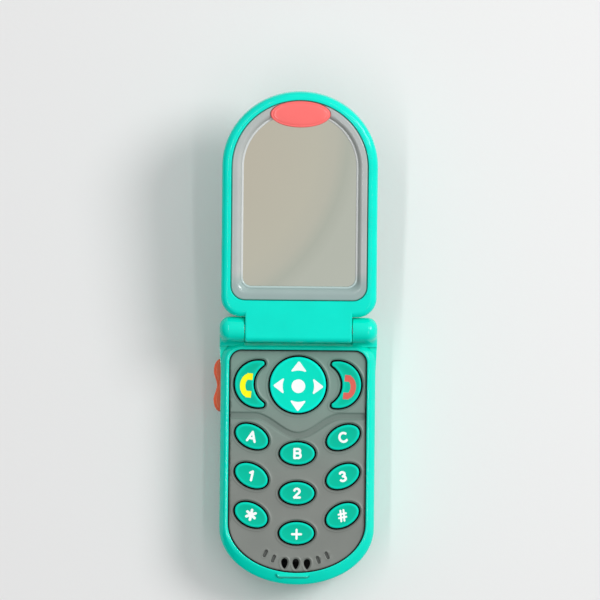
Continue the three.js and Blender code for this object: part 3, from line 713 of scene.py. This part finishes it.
def bezel():
    """The silver frame: a flat land with a soft outer edge, rolling down to a bead round the
    glass that carries a painted highlight, with a seat for the badge."""
    top, land, drop, power, steps = LID_INNER - 0.4, 1.6, 1.45, 2.4, 12
    foot = top - drop
    soft = rounding(0, top, 0.55, 0.55, 6)
    rings = stack(bezel_outline, [(0, 1.65), (0, top - 0.55), *soft, (land, top)])
    for t in np.linspace(0, 1, steps + 1)[1:]:
        outline = (1 - t) * bezel_outline(land) + t * glass_outline(-0.5)
        rings.append(ring(outline, top - drop * t**power))
    rings += stack(glass_outline, [
        (-0.46, foot + 0.06), (-0.36, foot + 0.11), (-0.22, foot + 0.145), (-0.06, foot + 0.14),
        (0.1, foot + 0.08), (0.22, foot - 0.03), (0.28, foot - 0.16), (0.28, 2.3), (0.28, 2.15),
        (-1.3, 2.15), (-1.3, 1.65)])
    seat = prism(badge_seat(INNER_BADGE, 80), INNER_BADGE["low"] - 0.3, 10)
    obj = cut(make("bezel", loft(rings, closed=True)), seat)
    points = points_of(obj)
    # painted highlight: the edge layer lightens the bead round the glass
    write_layer(obj, "edge", inside(glass_outline(-0.48), points[:, :2]) & (points[:, 2] > BEAD_LEVEL))
    obj.data.transform(LID_PLACE)
    return obj


def badge(name, shape):
    """A domed oval plate with a low border round its edge."""
    y, rx, ry, low, top = shape.values()
    up = 1 if top > low else -1
    border, step, height = 0.8, 0.36, abs(top - low)
    levels = [(0, 0), (0, height - 0.75), (0.06, height - 0.55), (0.2, height - 0.38), (0.42, height - 0.3),
              (0.62, height - 0.33), (border, height - step)]
    levels += [(border + (ry - border) * (1 - math.cos(a)), height - step + step * math.sin(a))
               for a in np.linspace(0.12, 1.45, 12)]

    def outline(inset):
        return ellipse(0, y, rx - inset * (1 + inset / ry * (rx / ry - 1)), ry - inset, 96)[::up]

    rings = stack(outline, [(inset, low + up * z) for inset, z in levels])
    return make(name, domed(rings, (0, y, top)), LID_PLACE)


def lattice():
    """The outside panel: pillowed diamonds between two families of grooves, in a plain border."""
    outline = shield_outline(0)
    hole = badge_seat(OUTER_BADGE, 96)
    pitch, lean, depth, border = 3.1, math.radians(32), 0.42, 1.3
    groove_width, fall, line_width, skin = 0.42, 0.35, 0.22, 0.5

    def height(points):
        grooves = []
        for sign in (-1, 1):
            t = points @ np.array([math.cos(lean), sign * math.sin(lean)]) / pitch
            grooves.append(np.abs(t - np.round(t)) * pitch)
        gap = np.minimum(*grooves)
        pillow = depth * (1 - np.exp(-((gap / groove_width) ** 2))) + 0.1 * gap / pitch
        edge = np.minimum(distance(points, outline), distance(points, hole))
        share = np.clip((edge - border) / fall, 0, 1)
        level = (1 - share) * depth + share * pillow
        level -= 0.3 * np.exp(-(((edge - border) / line_width) ** 2))
        level -= 0.3 * np.clip(1 - edge / fall, 0, 1) ** 2
        return PANEL["low"] - skin - level

    keep = partial(on_plate, outline, [hole])
    points = grid(outline, 0.34, chain(outline, hole), 0.2)
    shape = slab([outline, hole], keep, height, lambda points: PANEL["low"], points[keep(points)])
    return make("lattice", shape, LID_PLACE)


finish_piece(lid_frame(), LID_TEAL, "lid", ["lid_inner_frame"], 30, True)
finish_piece(lid_shell(), LID_TEAL, "lid", ["lid_outer_shell"], 30, True)
finish_piece(bezel(), SILVER, "lid", ["mirror_bezel"], 30, True)
finish_piece(badge("badge_inner", INNER_BADGE), CORAL, "lid", ["inner_badge"], 40)
finish_piece(badge("badge_outer", OUTER_BADGE), RED, "lid", ["outer_badge"], 40)
finish_piece(lattice(), PANEL_GREY, "lid", ["lattice_panel"], 60)

# ---- base

# across the rim from its shoulder to the keypad: height along the sides, and at the chin
RIM_PROFILE = ((0, 19.5, 19.5), (0.04, 19.95, 19.85), (0.1, 20.32, 20.12), (0.2, 20.74, 20.42),
               (0.35, 21.25, 20.78), (0.48, 21.68, 21.07), (0.58, 21.96, 21.29), (0.65, 22.09, 21.44),
               (0.7, 22.13, 21.54), (0.86, 22.187, 21.82), (0.9, 22.19, 21.88), (0.94, 22.13, 21.9),
               (0.97, 22.05, 21.88), (1, 21.9, 21.8))
CHIN_START, CHIN_FULL = -70.0, -85.0
SEAM_TOP, TAB_FOOT = 21.75, 21.85
EAR_FOOT_Z = 17.0
HALVES_Z = 11.05


def ear(side):
    """A hinge ear: a round-topped column with a soft outer end, curving into the rim in front
    of it, deeper towards its outer end."""
    soft, spread, valley = 3.6, 5.9, 23.6

    def section(inset):
        r = EAR_R - inset
        return chain(
            (r, EAR_FOOT_Z),
            arc(0, AXIS_Z, r, r, 0, 180, 28),
            arc(-spread, valley, spread - r, 2.4 + 1.6 * inset / soft, 0, -90, 12),
            (-spread, EAR_FOOT_Z),
        )

    stations = [(side * (EAR_IN + along), inset) for along, inset in ((0, 0.3), (0.09, 0.09), (0.3, 0))]
    for out in np.sin(np.linspace(0, math.pi / 2, 11)):
        stations.append((side * (BASE["block"] - soft * (1 - out)), soft * (1 - math.sqrt(1 - out**2))))
    return along_x(stations, section)


def rocker_window():
    """The opening for the rocker, cut through the left wall of both shells."""
    reach, spare = 9.7, 0.3
    outline = round_box(ROCKER_Y - reach, ROCKER_Y + reach, ROCKER_Z[0] - spare, ROCKER_Z[1] + spare, 1.6)
    return along_x([(-31.0, 0), (-24.2, 0)], lambda inset: outline)


def tab_outline(inset):
    """The low bar on the end of the rim, to open the lid by."""
    x0, x1, out, back, corner = -6.7, 4.4, FACE["end"] - 1.7, FACE["end"] - 0.6, 0.9
    r = corner - inset
    return chain(
        arc(x0 + corner, out + corner, r, r, 180, 270, 8),
        arc(x1 - corner, out + corner, r, r, 270, 360, 8),
        [(x1 - inset, back), (x0 + inset, back)],
    )


def base_front():
    """The rim round the keypad, with a valley before the hinge, the ears, the finger tab, the
    rocker's window and a hole for each hinge pin."""
    low, seam = FRONT_LOW[2], face_outline(-SEAM)
    rings = stack(base_outline, [(0.2, low), (0, low + 0.2), (0, 15.0), (0, 19.1)])
    rings += stack(lambda t: (1 - t) * base_outline() + t * bead_outline(),
                   [(0.03, 19.3), (0.1, 19.4), (1, 19.45)])
    for t, side_z, chin_z in RIM_PROFILE:
        outline = (1 - t) * bead_outline() + t * seam
        share = smooth(np.clip((outline[:, 1] - CHIN_START) / (CHIN_FULL - CHIN_START), 0, 1))
        rings.append(ring(outline, side_z + (chin_z - side_z) * share))
    rings += stack(face_outline, [(-SEAM, 21.7), (-SEAM, 19.1), (0.9, 19.1), (0.9, 18.3)])
    rings += stack(base_outline, [(2.2, 18.2), (2.2, low)])
    tab = loft(stack(tab_outline, [(-0.45, 20.7), (-0.4, 21.2), (0, 21.98), (0.08, 22.09), (0.26, 22.14)]))
    obj = fuse(make("base_rim", loft(rings, closed=True)), ear(-1), ear(1), tab)
    cut(obj, rocker_window(), *(rod(1.75, side * 18.0, side * 26.2, AXIS_Z) for side in (-1, 1)))
    points = points_of(obj)
    flat, z = points[:, :2], points[:, 2]
    in_seam = (distance(flat, seam) < 0.03) | inside(seam, flat)
    at_tab = inside(tab_outline(-0.5), flat) & ~inside(tab_outline(-0.2), flat)
    # painted shade: the deep layer darkens the seam round the keypad and the foot of the finger tab
    write_layer(obj, "deep", np.maximum(in_seam & (z < SEAM_TOP), 0.5 * (at_tab & (z < TAB_FOOT))))
    return obj


def cover_outline(grow=0.0):
    x1, y0, y1, corner = COVER_HIGH[0] + grow, COVER_LOW[1] - grow, COVER_HIGH[1] + grow, 3.0 + grow
    return mirrored(
        (0, y0),
        arc(x1 - corner, y0 + corner, corner, corner, -90, 0, 8),
        between((x1, y0 + corner), (x1, y1 - corner), 6),
        arc(x1 - corner, y1 - corner, corner, corner, 0, 90, 8),
        (0, y1),
    )


def base_back():
    """The back shell: soft lower edge, battery recess, screw wells and the switch slot."""
    rings = stack(base_outline, [
        (2.2, 2.4), (2.2, HALVES_Z), (0.2, HALVES_Z), (0, HALVES_Z - 0.2), *rounding(0, 0, 3.3, -6.0, 14)])
    wells = [loft(stack(oval_at(x, y, 40), [(3.2, -1), (3.2, -0.01), (2.85, 0.35), (2.85, 6.2)]))
             for x, y in SCREWS]
    middle, end = middle_of("power_switch_knob")[0], box_mm("power_switch_knob")[1][1]
    slot = prism(round_box(middle - 1.85, middle + 1.85, end - 4.8, end + 3.3, 0.5), -1, 2.6)
    recess = prism(cover_outline(0.25), -1, 1.8)
    return cut(make("base_back", loft(rings)), recess, *wells, slot, rocker_window())


def battery_cover():
    """The cover with a softened edge, a dish for its screw and thumb ridges."""
    rings = stack(cover_outline, [(0, 1.5), (0, 0.35), (-0.1, 0.12), (-0.3, 0.02)])
    dish = loft(stack(oval_at(0, COVER_SCREW_Y, 40), [(3.1, -1), (3.1, 0.0), (2.8, 0.3), (2.8, 1.0)]))
    grooves = []
    for i in range(4):
        y, half = COVER_LOW[1] + 5.0 + 1.7 * i, 6.0 - 0.9 * i
        grooves.append(prism(round_box(-half, half, y - 0.4, y + 0.4, 0.38), -1, 0.4))
    return cut(make("battery_door", loft(rings)), dish, *grooves)


def screw(name, x, y, low, head_height, length):
    """A pan-head screw seen from below, with a cross recess and a thread."""
    head, neck, pitch = 2.5, low + head_height, 0.9
    profile = [(head - 0.55, low), (head - 0.2, low + 0.12), (head, low + 0.4), (head, neck)]
    for i in range(int((length - 1) / pitch)):
        z = neck + 0.3 + pitch * i
        profile += [(1.0, z), (1.3, z + 0.3), (1.0, z + 0.6)]
    profile += [(1.0, neck + length - 0.7), (0.2, neck + length)]
    arms = [prism(ellipse(x, y, 1.35, 0.32, 16, angle), low - 0.5, low + 0.5) for angle in (20, 110)]
    return cut(make(name, loft(stack(oval_at(x, y, 28), profile))), *arms)


finish_piece(base_front(), BASE_TEAL, "base", ["base_front_shell"], 30, True)
finish_piece(base_back(), BASE_TEAL, "base", ["base_back_shell"], 30, True)
finish_piece(battery_cover(), BASE_TEAL, "base", ["battery_cover"], 30, True)
for i, (x, y) in enumerate(SCREWS, 1):
    case_screw = screw(f"screw_{i}", x, y, box_mm(f"case_screw_{i}")[0][2], 1.4, 9.5)
    finish_piece(case_screw, STEEL, "base", [f"case_screw_{i}"], 35)
door_screw = screw("screw_door", 0, COVER_SCREW_Y, 0.12, 0.58, 6.5)
finish_piece(door_screw, STEEL, "base", ["battery_cover_screw"], 35)

# ---- keypad

WAVE_Y, WAVE_DIP, WAVE_REACH = -30.3, 6.8, 15.5
SLOT_SPOTS = ((-4.15, -81.95), (-0.2, -82.1), (3.75, -82.15))
SLOT_HALF = (1.1, 1.85)
MARK_SPOTS = ((-10.9, -78.5, -25), (-8.05, -80.3, -22), (7.65, -80.6, 22), (10.75, -79.0, 25))
MARK_HALF = (0.57, 1.42)
KEY_DISH, NAV_DISH = (0.22, 0.85), (0.2, 0.92)
# the painted highlight's width round a key's border, and where painted shade begins down its sides and how
# far it takes to fade in
EDGE_HIGHLIGHT_BAND = 1.25
DEEP_START, DEEP_FADE = 0.55, 0.5
SOFT_DEPTH, SIDE_TOP = 0.5, KEY_TOP - 1.05
OVALS = {name: oval_at(x, y, 64, *OVAL, tilt) for name, (x, y, tilt) in KEY_SPOTS.items()}


def wave_line(x):
    return WAVE_Y - WAVE_DIP * 0.5 * (1 + np.cos(np.pi * np.clip(np.abs(x) / WAVE_REACH, 0, 1)))


def teardrop(cx, cy, half_width, half_length):
    """A speaker slot, round at the top and pointed at the bottom."""
    a = np.linspace(math.pi, 0, 15)
    y = np.cos(a)
    x = np.sin(a) * (1 + 0.3 * y) * np.where(y < 0, (1 - y**4 * 0.25), 1)
    return mirrored(np.stack([half_width * x, half_length * y], 1)) + (cx, cy)


def slanted_marks(grow=0.0):
    """The outlines of the marks beside the speaker slots."""
    half_width, half_length = MARK_HALF
    r, ends = half_width + grow, half_length - half_width
    outline = chain(arc(0, ends, r, r, 0, 180, 8), arc(0, -ends, r, r, 180, 360, 8))
    return [turned(outline, tilt, x, y) for x, y, tilt in MARK_SPOTS]


def hole_outlines(grow=0.0):
    """The openings for the keys and the speaker slots."""
    rx, ry = OVAL_HOLE
    shapes = [ellipse(x, y, rx + grow, ry + grow, 72, tilt) for x, y, tilt in KEY_SPOTS.values()]
    shapes += [crescent_outline(CRESCENT_GAP + grow, side) for side in (-1, 1)]
    shapes.append(ellipse(0, NAV_Y, NAV_HOLE + grow, NAV_HOLE + grow, 110))
    return shapes + [teardrop(*spot, *(half + grow for half in SLOT_HALF)) for spot in SLOT_SPOTS]


def faceplate():
    """The grey plate: holes with a raised lip, a soft wave-shaped groove and shallow slanted
    marks beside the speaker slots."""
    outline, holes, marks = face_outline(), hole_outlines(), slanted_marks()
    half, level = FACE["half"], FACE_HIGH[2] - 0.2
    fall, end_deep, hole_deep, mark_deep, mark_fall = 0.45, 0.3, 0.26, 0.72, 0.09
    groove_half_deep, groove_half_wide, groove_soft = 0.31, 1.1, 0.17

    def swell(gap, height, middle, reach):
        return height * np.exp(-(((gap - middle) / reach) ** 2))

    def height(points):
        edge = np.min([distance(points, hole) for hole in holes], axis=0)
        z = swell(edge, 0.2, 0.6, 0.3) - hole_deep * np.clip(1 - edge / fall, 0, 1)
        z -= end_deep * np.clip(1 - distance(points, outline) / fall, 0, 1) ** 2
        xs = np.linspace(-half, half, 160)
        wave = distance(points, np.stack([xs, wave_line(xs)], 1), closed=False)
        z -= groove_half_deep * (1 - np.tanh((wave - groove_half_wide) / groove_soft))
        for mark in marks:
            near, within = distance(points, mark), inside(mark, points)
            z -= np.where(within, mark_deep * np.clip(near / mark_fall, 0, 1), 0)
            z += np.where(within, 0, swell(near, 0.12, 0.25, 0.22))
        return level + z

    keep = partial(on_plate, outline, holes)
    lines = [face_outline(inset) for inset in (0.12, 0.25, 0.45, 0.8)]
    for grow in (0.08, 0.18, 0.3, 0.45, 0.6, 0.75, 0.95, 1.2):
        lines += hole_outlines(grow)
    for grow in (-0.3, 0.12, 0.25, 0.4, 0.6):
        lines += slanted_marks(grow)
    xs = np.linspace(-half + 0.3, half - 0.3, 130)
    slant = np.hypot(1, np.gradient(wave_line(xs), xs))
    for offset in (0, 0.45, 0.78, 0.98, 1.15, 1.35, 1.7):
        lines += [np.stack([xs, wave_line(xs) + sign * offset * slant], 1) for sign in (-1, 1)]
    borders = [outline, *holes, *marks, *slanted_marks(-0.1)]
    lines, edges = chain(*lines), chain(*borders)
    lines = lines[keep(lines)]
    lines = lines[nearest(lines, edges) > 0.06]
    fill = grid(outline, 1.0, chain(lines, edges), 0.45)
    extra = chain(lines, fill[keep(fill)])
    obj = make("faceplate", slab(borders, keep, height, lambda points: FACE_LOW[2], extra))
    # painted shade: the deep layer darkens the hole walls and the deepest parts of the groove and marks
    write_layer(obj, "deep", np.clip((FACE_HIGH[2] - 0.75 - points_of(obj)[:, 2]) / 0.3, 0, 1))
    return obj


def hollowed(share, depth, reach):
    """Height of a key's hollowed top, from share 0 at the middle to 1 at the edge."""
    return KEY_TOP - depth * (1 - np.clip(share / reach, 0, 1) ** 2)


def key_levels(flange, side=0.0):
    """(grow, z) up a key's flange and side."""
    top = KEY_BOTTOM + FLANGE
    return [(flange, KEY_BOTTOM), (flange, top), (-side, top), (-side, SIDE_TOP)]


def finish_key(name, shape, outline, body, look=SHADED_KEY_TEAL):
    """Makes a key, and writes a painted highlight on its border and painted shade down its sides in the
    gap.
    """
    obj = make(name, shape)
    points = points_of(obj)
    near = 1 - np.clip(distance(points[:, :2], outline) / EDGE_HIGHLIGHT_BAND, 0, 1)
    write_layer(obj, "edge", smooth(near))
    write_layer(obj, "deep", np.clip((KEY_TOP - DEEP_START - points[:, 2]) / DEEP_FADE, 0, 1))
    finish_piece(obj, look, body, [body], 45)


def round_key(outline, radius, flange, soft, steps, hollow, insets):
    """A round or oval key with a soft edge and a hollowed top."""
    rings = stack(outline, key_levels(flange))
    for level in rings[:2]:  # the flange stays short of the faceplate's end
        level[:, 1] = np.minimum(level[:, 1], FACE["top"] - 1.25)
    levels = rounding(0, KEY_TOP, soft, SOFT_DEPTH, steps)
    levels += [(inset, hollowed(1 - inset / radius, *hollow)) for inset in insets]
    rings += stack(outline, [(-inset, z) for inset, z in levels])
    return domed(rings, (*outline().mean(0), KEY_TOP - hollow[0]))


def crescent_height(points, side):
    """A crescent's top, hollowed a little away from its edge."""
    near = distance(points, crescent_outline(-CRESCENT_CAP, side))
    return hollowed(1 - np.clip(near / 3.0, 0, 1), *KEY_DISH)


def crescent_key(side):
    limit = FACE["half"] - 1.2
    outline = partial(crescent_outline, side=side)
    rings = stack(outline, key_levels(0.7, CRESCENT_CAP))
    for level in rings:
        level[:, 0] = np.clip(level[:, 0], -limit, limit)
    levels = rounding(CRESCENT_CAP, KEY_TOP, 0.5, SOFT_DEPTH, 6)
    rings += stack(outline, [(-inset, z) for inset, z in levels])
    verts, faces = loft(rings)
    faces.pop()
    border = rings[-1][:, :2]
    steps = chain(*(outline(-CRESCENT_CAP - inset) for inset in (0.65, 0.8)))
    inner = grid(border, 0.8, border, 0.3)
    inner = chain(steps, inner[nearest(inner, steps) > 0.3])
    inner = inner[inside(border, inner)]
    top_verts, top_faces = triangles([border], inner, partial(inside, border))
    z = np.where(distance(top_verts, border) < 1e-4, KEY_TOP, crescent_height(top_verts, side))
    return joined((verts, faces), (ring(top_verts, z), top_faces.tolist()))


finish_piece(faceplate(), FACE_GREY, "base", ["keypad_faceplate"], 50)
for name, outline in OVALS.items():
    insets = (0.75, 0.95, 1.2, 1.5, 1.9, 2.4, 3.0, 3.5)
    shape = round_key(outline, OVAL[1], 0.65, 0.55, 6, KEY_DISH, insets)
    finish_key(f"cap_{name}", shape, outline(), name)
for name, side in (("call_key", -1), ("end_key", 1)):
    finish_key(f"cap_{name}", crescent_key(side), crescent_outline(-CRESCENT_CAP, side), name)
pad_outline = oval_at(0, NAV_Y, 120, NAV_R, NAV_R)
insets = (0.8, 1.05, 1.4, 2.0, 3.0, 4.2, 5.6, 7.2, 8.6)
shape = round_key(pad_outline, NAV_R, 0.8, 0.6, 7, NAV_DISH, insets)
finish_key("pad", shape, pad_outline(), "nav_pad", NAV_TEAL)

# ---- print

INK = 0.035
ICON_LEAN = 1.0
ICON_SPOT = (0.15, NAV_Y - 0.42)
LEGEND_LEAN = 0.45
STROKE = {"key_hash": 0.33, "key_star": 0.47, "key_plus": 0.38}
PLAIN_STROKE = 0.41
LEGEND_DROP = {"key_plus": 0.35}

# the lines of each key's legend, about the middle of the key
GLYPHS = {
    "key_a": [[(-1.35, -1.6), (0, 1.65)], [(0, 1.65), (1.35, -1.6)], [(-0.8, -0.6), (0.8, -0.6)]],
    "key_b": [[(-1.0, -1.55), (-1.0, 1.55)],
              chain((-1.0, 1.55), arc(0.25, 0.82, 0.73, 0.73, 90, -90), (-1.0, 0.09)),
              chain((-1.0, 0.09), arc(0.35, -0.73, 0.82, 0.82, 90, -90), (-1.0, -1.55))],
    "key_c": [arc(0.1, 0, 1.4, 1.55, 48, 312, 24)],
    "key_1": [[(-0.6, 0.95), (0.2, 1.55)], [(0.2, 1.55), (0.2, -1.55)]],
    "key_2": [chain(arc(0, 0.72, 0.92, 0.83, 165, -38, 16), (-0.95, -1.45)), [(-0.95, -1.5), (0.98, -1.5)]],
    "key_3": [arc(-0.08, 0.78, 0.85, 0.77, 145, -80, 16), arc(-0.08, -0.74, 0.98, 0.8, 80, -145, 18)],
    "key_star": [[(0, -1.7), (0, 1.7)], [(-1.45, -0.85), (1.45, 0.85)], [(-1.45, 0.85), (1.45, -0.85)]],
    "key_plus": [[(0, -1.55), (0, 1.55)], [(-1.55, 0), (1.55, 0)]],
    "key_hash": [[(-0.75, -1.85), (-0.35, 1.85)], [(0.35, -1.85), (0.75, 1.85)],
                 [(-1.25, 0.62), (1.35, 0.62)], [(-1.35, -0.62), (1.25, -0.62)]],
}


def ribbon(line, radius):
    """The outline of a stroke with round ends along a smooth line."""
    line = np.asarray(line, float)
    along = np.gradient(line, axis=0)
    along /= np.linalg.norm(along, axis=1)[:, None]
    normal = np.stack([-along[:, 1], along[:, 0]], 1)
    start, end = (math.degrees(math.atan2(y, x)) for x, y in (normal[0], normal[-1]))
    return chain(
        line - radius * normal,
        arc(*line[-1], radius, radius, end - 180, end, 10)[1:-1],
        (line + radius * normal)[::-1],
        arc(*line[0], radius, radius, start, start + 180, 10)[1:-1],
    )


def printed(name, outlines, surface, ink, body, extra=()):
    """Ink on a key: a thin closed layer that follows the key's surface."""
    shape = slab(outlines, partial(in_any, outlines), lambda points: surface(points) + INK,
                 lambda points: surface(points) - INK, extra)
    finish_piece(make(name, shape), ink, body, (), 50)


def oval_surface(border, points):
    return hollowed(1 - distance(points, border) / OVAL[1], *KEY_DISH)


def nav_surface(points):
    return hollowed(np.hypot(points[:, 0], points[:, 1] - NAV_Y) / NAV_R, *NAV_DISH)


def arrow(angle):
    """An arrowhead with soft corners and a concave back, pointing outwards at angle."""
    tip, back, half, soft = 8.95, 5.1, 2.85, 0.75
    side = np.array([(back, -half), (tip, 0.0), (back, half)])
    corners = []
    for before, corner, after in zip(np.roll(side, 1, 0), side, np.roll(side, -1, 0)):
        a = corner + soft * (before - corner) / np.linalg.norm(before - corner)
        b = corner + soft * (after - corner) / np.linalg.norm(after - corner)
        t = np.linspace(0, 1, 6)[:, None]
        corners.append((1 - t) ** 2 * a + 2 * (1 - t) * t * corner + t**2 * b)
    hollow = np.linspace(1, -1, 12)[1:-1]
    concave = np.stack([back + 0.4 * (1 - hollow**2), hollow * (half - 0.7)], 1)
    return turned(chain(*corners, concave), angle - ICON_LEAN, *ICON_SPOT)


def handset(side):
    """A telephone handset: a bowed grip with a square block at each end, open towards the
    middle, leaning a little clockwise."""
    shapes = [ribbon(arc(1.05, 0, 2.25, 3.25, 112, 248, 20), 0.95)]
    block = np.array([(0.0, -1.15), (2.0, -1.15), (2.0, 1.15), (0.0, 1.15)])
    shapes += [block + (0.05, sign * 3.1) for sign in (-1, 1)]
    return [turned(on_side(shape, side), -5, side * 18.15, NAV_Y - 0.45 - 0.25 * side) for shape in shapes]


for name, strokes in GLYPHS.items():
    x, y, tilt = KEY_SPOTS[name]
    width, drop = STROKE.get(name, PLAIN_STROKE), LEGEND_DROP.get(name, 0)
    ribbons = [turned(ribbon(line, width), tilt * LEGEND_LEAN, x, y - drop) for line in strokes]
    printed(f"print_{name}", ribbons, partial(oval_surface, OVALS[name]()), WHITE_PRINT, name)
for i in range(4):
    printed(f"print_arrow_{i + 1}", [arrow(90 * i)], nav_surface, WHITE_PRINT, "nav_pad")
dot = ellipse(*ICON_SPOT, 2.4, 2.4, 48)
printed("print_dot", [dot], nav_surface, WHITE_PRINT, "nav_pad", grid(dot, 0.6, dot, 0.3))
for name, body, side, ink in (("print_call", "call_key", -1, YELLOW_PRINT),
                              ("print_end", "end_key", 1, CORAL_PRINT)):
    shapes = handset(side)
    fill = chain(*(grid(shape, 0.7, shape, 0.3) for shape in shapes))
    printed(name, shapes, partial(crescent_height, side=side), ink, body, fill)

# ---- rocker and switch


def rocker_outline(inset=0.0):
    """Seen from above: two lobes standing out of the left wall, with a waist between."""
    peak, waist, end, crest = 2.5 - inset, 1.35 - inset, 9.3 - inset * 0.7, 0.54
    y = np.linspace(-end, end, 73)
    u = np.abs(y) / end
    lobe = np.clip(1 - ((u - crest) / (1 - crest)) ** 2, 0, 1) ** 0.5
    middle = waist + (peak - waist) * np.sin(np.clip(u / crest, 0, 1) * math.pi / 2) ** 2
    out = np.where(u < crest, middle, peak * lobe)
    outer = np.stack([-BASE["half"] - out, y + ROCKER_Y], 1)
    back = box_mm("side_button")[1][0]
    return chain(outer, (back, ROCKER_Y + end - 0.2), (back, ROCKER_Y - end + 0.2))


def rocker():
    z0, z1 = ROCKER_Z
    levels = rounding(0, z0, 1.2, -1.2, 7)[::-1] + rounding(0, z1, 1.2, 1.2, 7)
    pivot = prism(ellipse(ROCKER_X, ROCKER_Y, 1.05, 1.05, 28), 6.0, 16.6)
    return fuse(make("rocker", loft(stack(rocker_outline, levels))), pivot)


def switch_knob():
    """The knob with its ribs, and the flange that holds it in."""
    low, high = box_mm("power_switch_knob")
    x0, x1 = middle_of("power_switch_knob")[0] + (-1.5, 1.5)
    y0, y1 = high[1] - 4.4, high[1]
    flange = prism(round_box(low[0], high[0], low[1], high[1], 0.3), 2.15, high[2])
    ribs = [prism(round_box(x0, x1, y0 + 0.55 + 1.1 * i, y0 + 1.15 + 1.1 * i, 0.25), 0.15, 0.6)
            for i in range(4)]
    return fuse(make("switch_slider", prism(round_box(x0, x1, y0, y1, 0.35), 0.45, 2.3)), flange, *ribs)


finish_piece(rocker(), BUTTON_RED, "side_button", ["side_button"], 40, True)
finish_piece(switch_knob(), BLACK, "power_switch_knob", ["power_switch_knob"], 35)

# ---- floor, lights, camera

FLOOR_HALF, FLOOR_DROP = 1.6, 0.0002
TARGET = (0, 0, 0.02)
SKY_LEVEL = 0.25
SKY_SLANT = (0.23, 0.26, 0.3)
CAMERA_HEIGHT = 4.0
VIEW_SIDE = 0.210
VIEW_CENTRE = (0.00042, 0.01035)
ROLL = math.radians(0.56)
SENSOR = 36


def floor():
    half = FLOOR_HALF
    corners = [(-half, -half, 0), (half, -half, 0), (half, half, 0), (-half, half, 0)]
    mesh = bpy.data.meshes.new("floor")
    mesh.from_pydata(corners, [], [(0, 1, 2, 3)])
    obj = link("floor", mesh)
    obj.location.z = -FLOOR_DROP
    look, shader = new_material("pale_floor", (0.8, 0.8, 0.8), 0.75, specular=0.1)
    grained(shader, ((600, 2e-5),))
    mesh.materials.append(look)


def area_light(name, place, size, power, length=None):
    """A disk light aimed at the target, or a strip along Y where a length is given."""
    data = bpy.data.lights.new(name, "AREA")
    data.shape = "RECTANGLE" if length else "DISK"
    data.size = size
    data.energy = power
    obj = link(name, data)
    obj.location = place
    aim = Vector(TARGET) - Vector(place)
    if length:
        data.size_y = length
        obj.rotation_euler = (0, math.atan2(-aim.x, -aim.z), 0)
    else:
        obj.rotation_euler = aim.to_track_quat("-Z", "Y").to_euler()


def surroundings():
    """A white world, brighter above, behind and to the right."""
    world = bpy.data.worlds.new("studio")
    bpy.context.scene.world = world
    world.use_nodes = True
    tree = world.node_tree
    background = tree.nodes["Background"]
    background.inputs["Color"].default_value = (1, 1, 1, 1)
    slant = add(tree, "VectorMath", operation="DOT_PRODUCT")
    slant.inputs[1].default_value = SKY_SLANT
    level = add(tree, "Math", operation="ADD")
    level.inputs[1].default_value = SKY_LEVEL
    wire(wire(add(tree, "TexCoord"), "Generated", slant, 0), "Value", level, 0)
    wire(level, 0, background, "Strength")


def look_down():
    """The photograph's view, from far above."""
    data = bpy.data.cameras.new("camera")
    data.sensor_width = SENSOR
    data.lens = SENSOR * (CAMERA_HEIGHT - FRONT_Z * MM) / VIEW_SIDE
    camera = link("camera", data)
    camera.location = (*VIEW_CENTRE, CAMERA_HEIGHT)
    camera.rotation_euler = (0, 0, ROLL)
    bpy.context.scene.camera = camera


floor()
area_light("key", (0.76, 0.34, 0.85), 0.5, 7.0)
area_light("strip_left", (-0.30, 0, 1.1), 0.05, 2.6, 1.2)
area_light("strip_right", (0.30, 0, 1.1), 0.05, 1.2, 1.2)
surroundings()
look_down()
bpy.context.scene.view_settings.view_transform = "Standard"
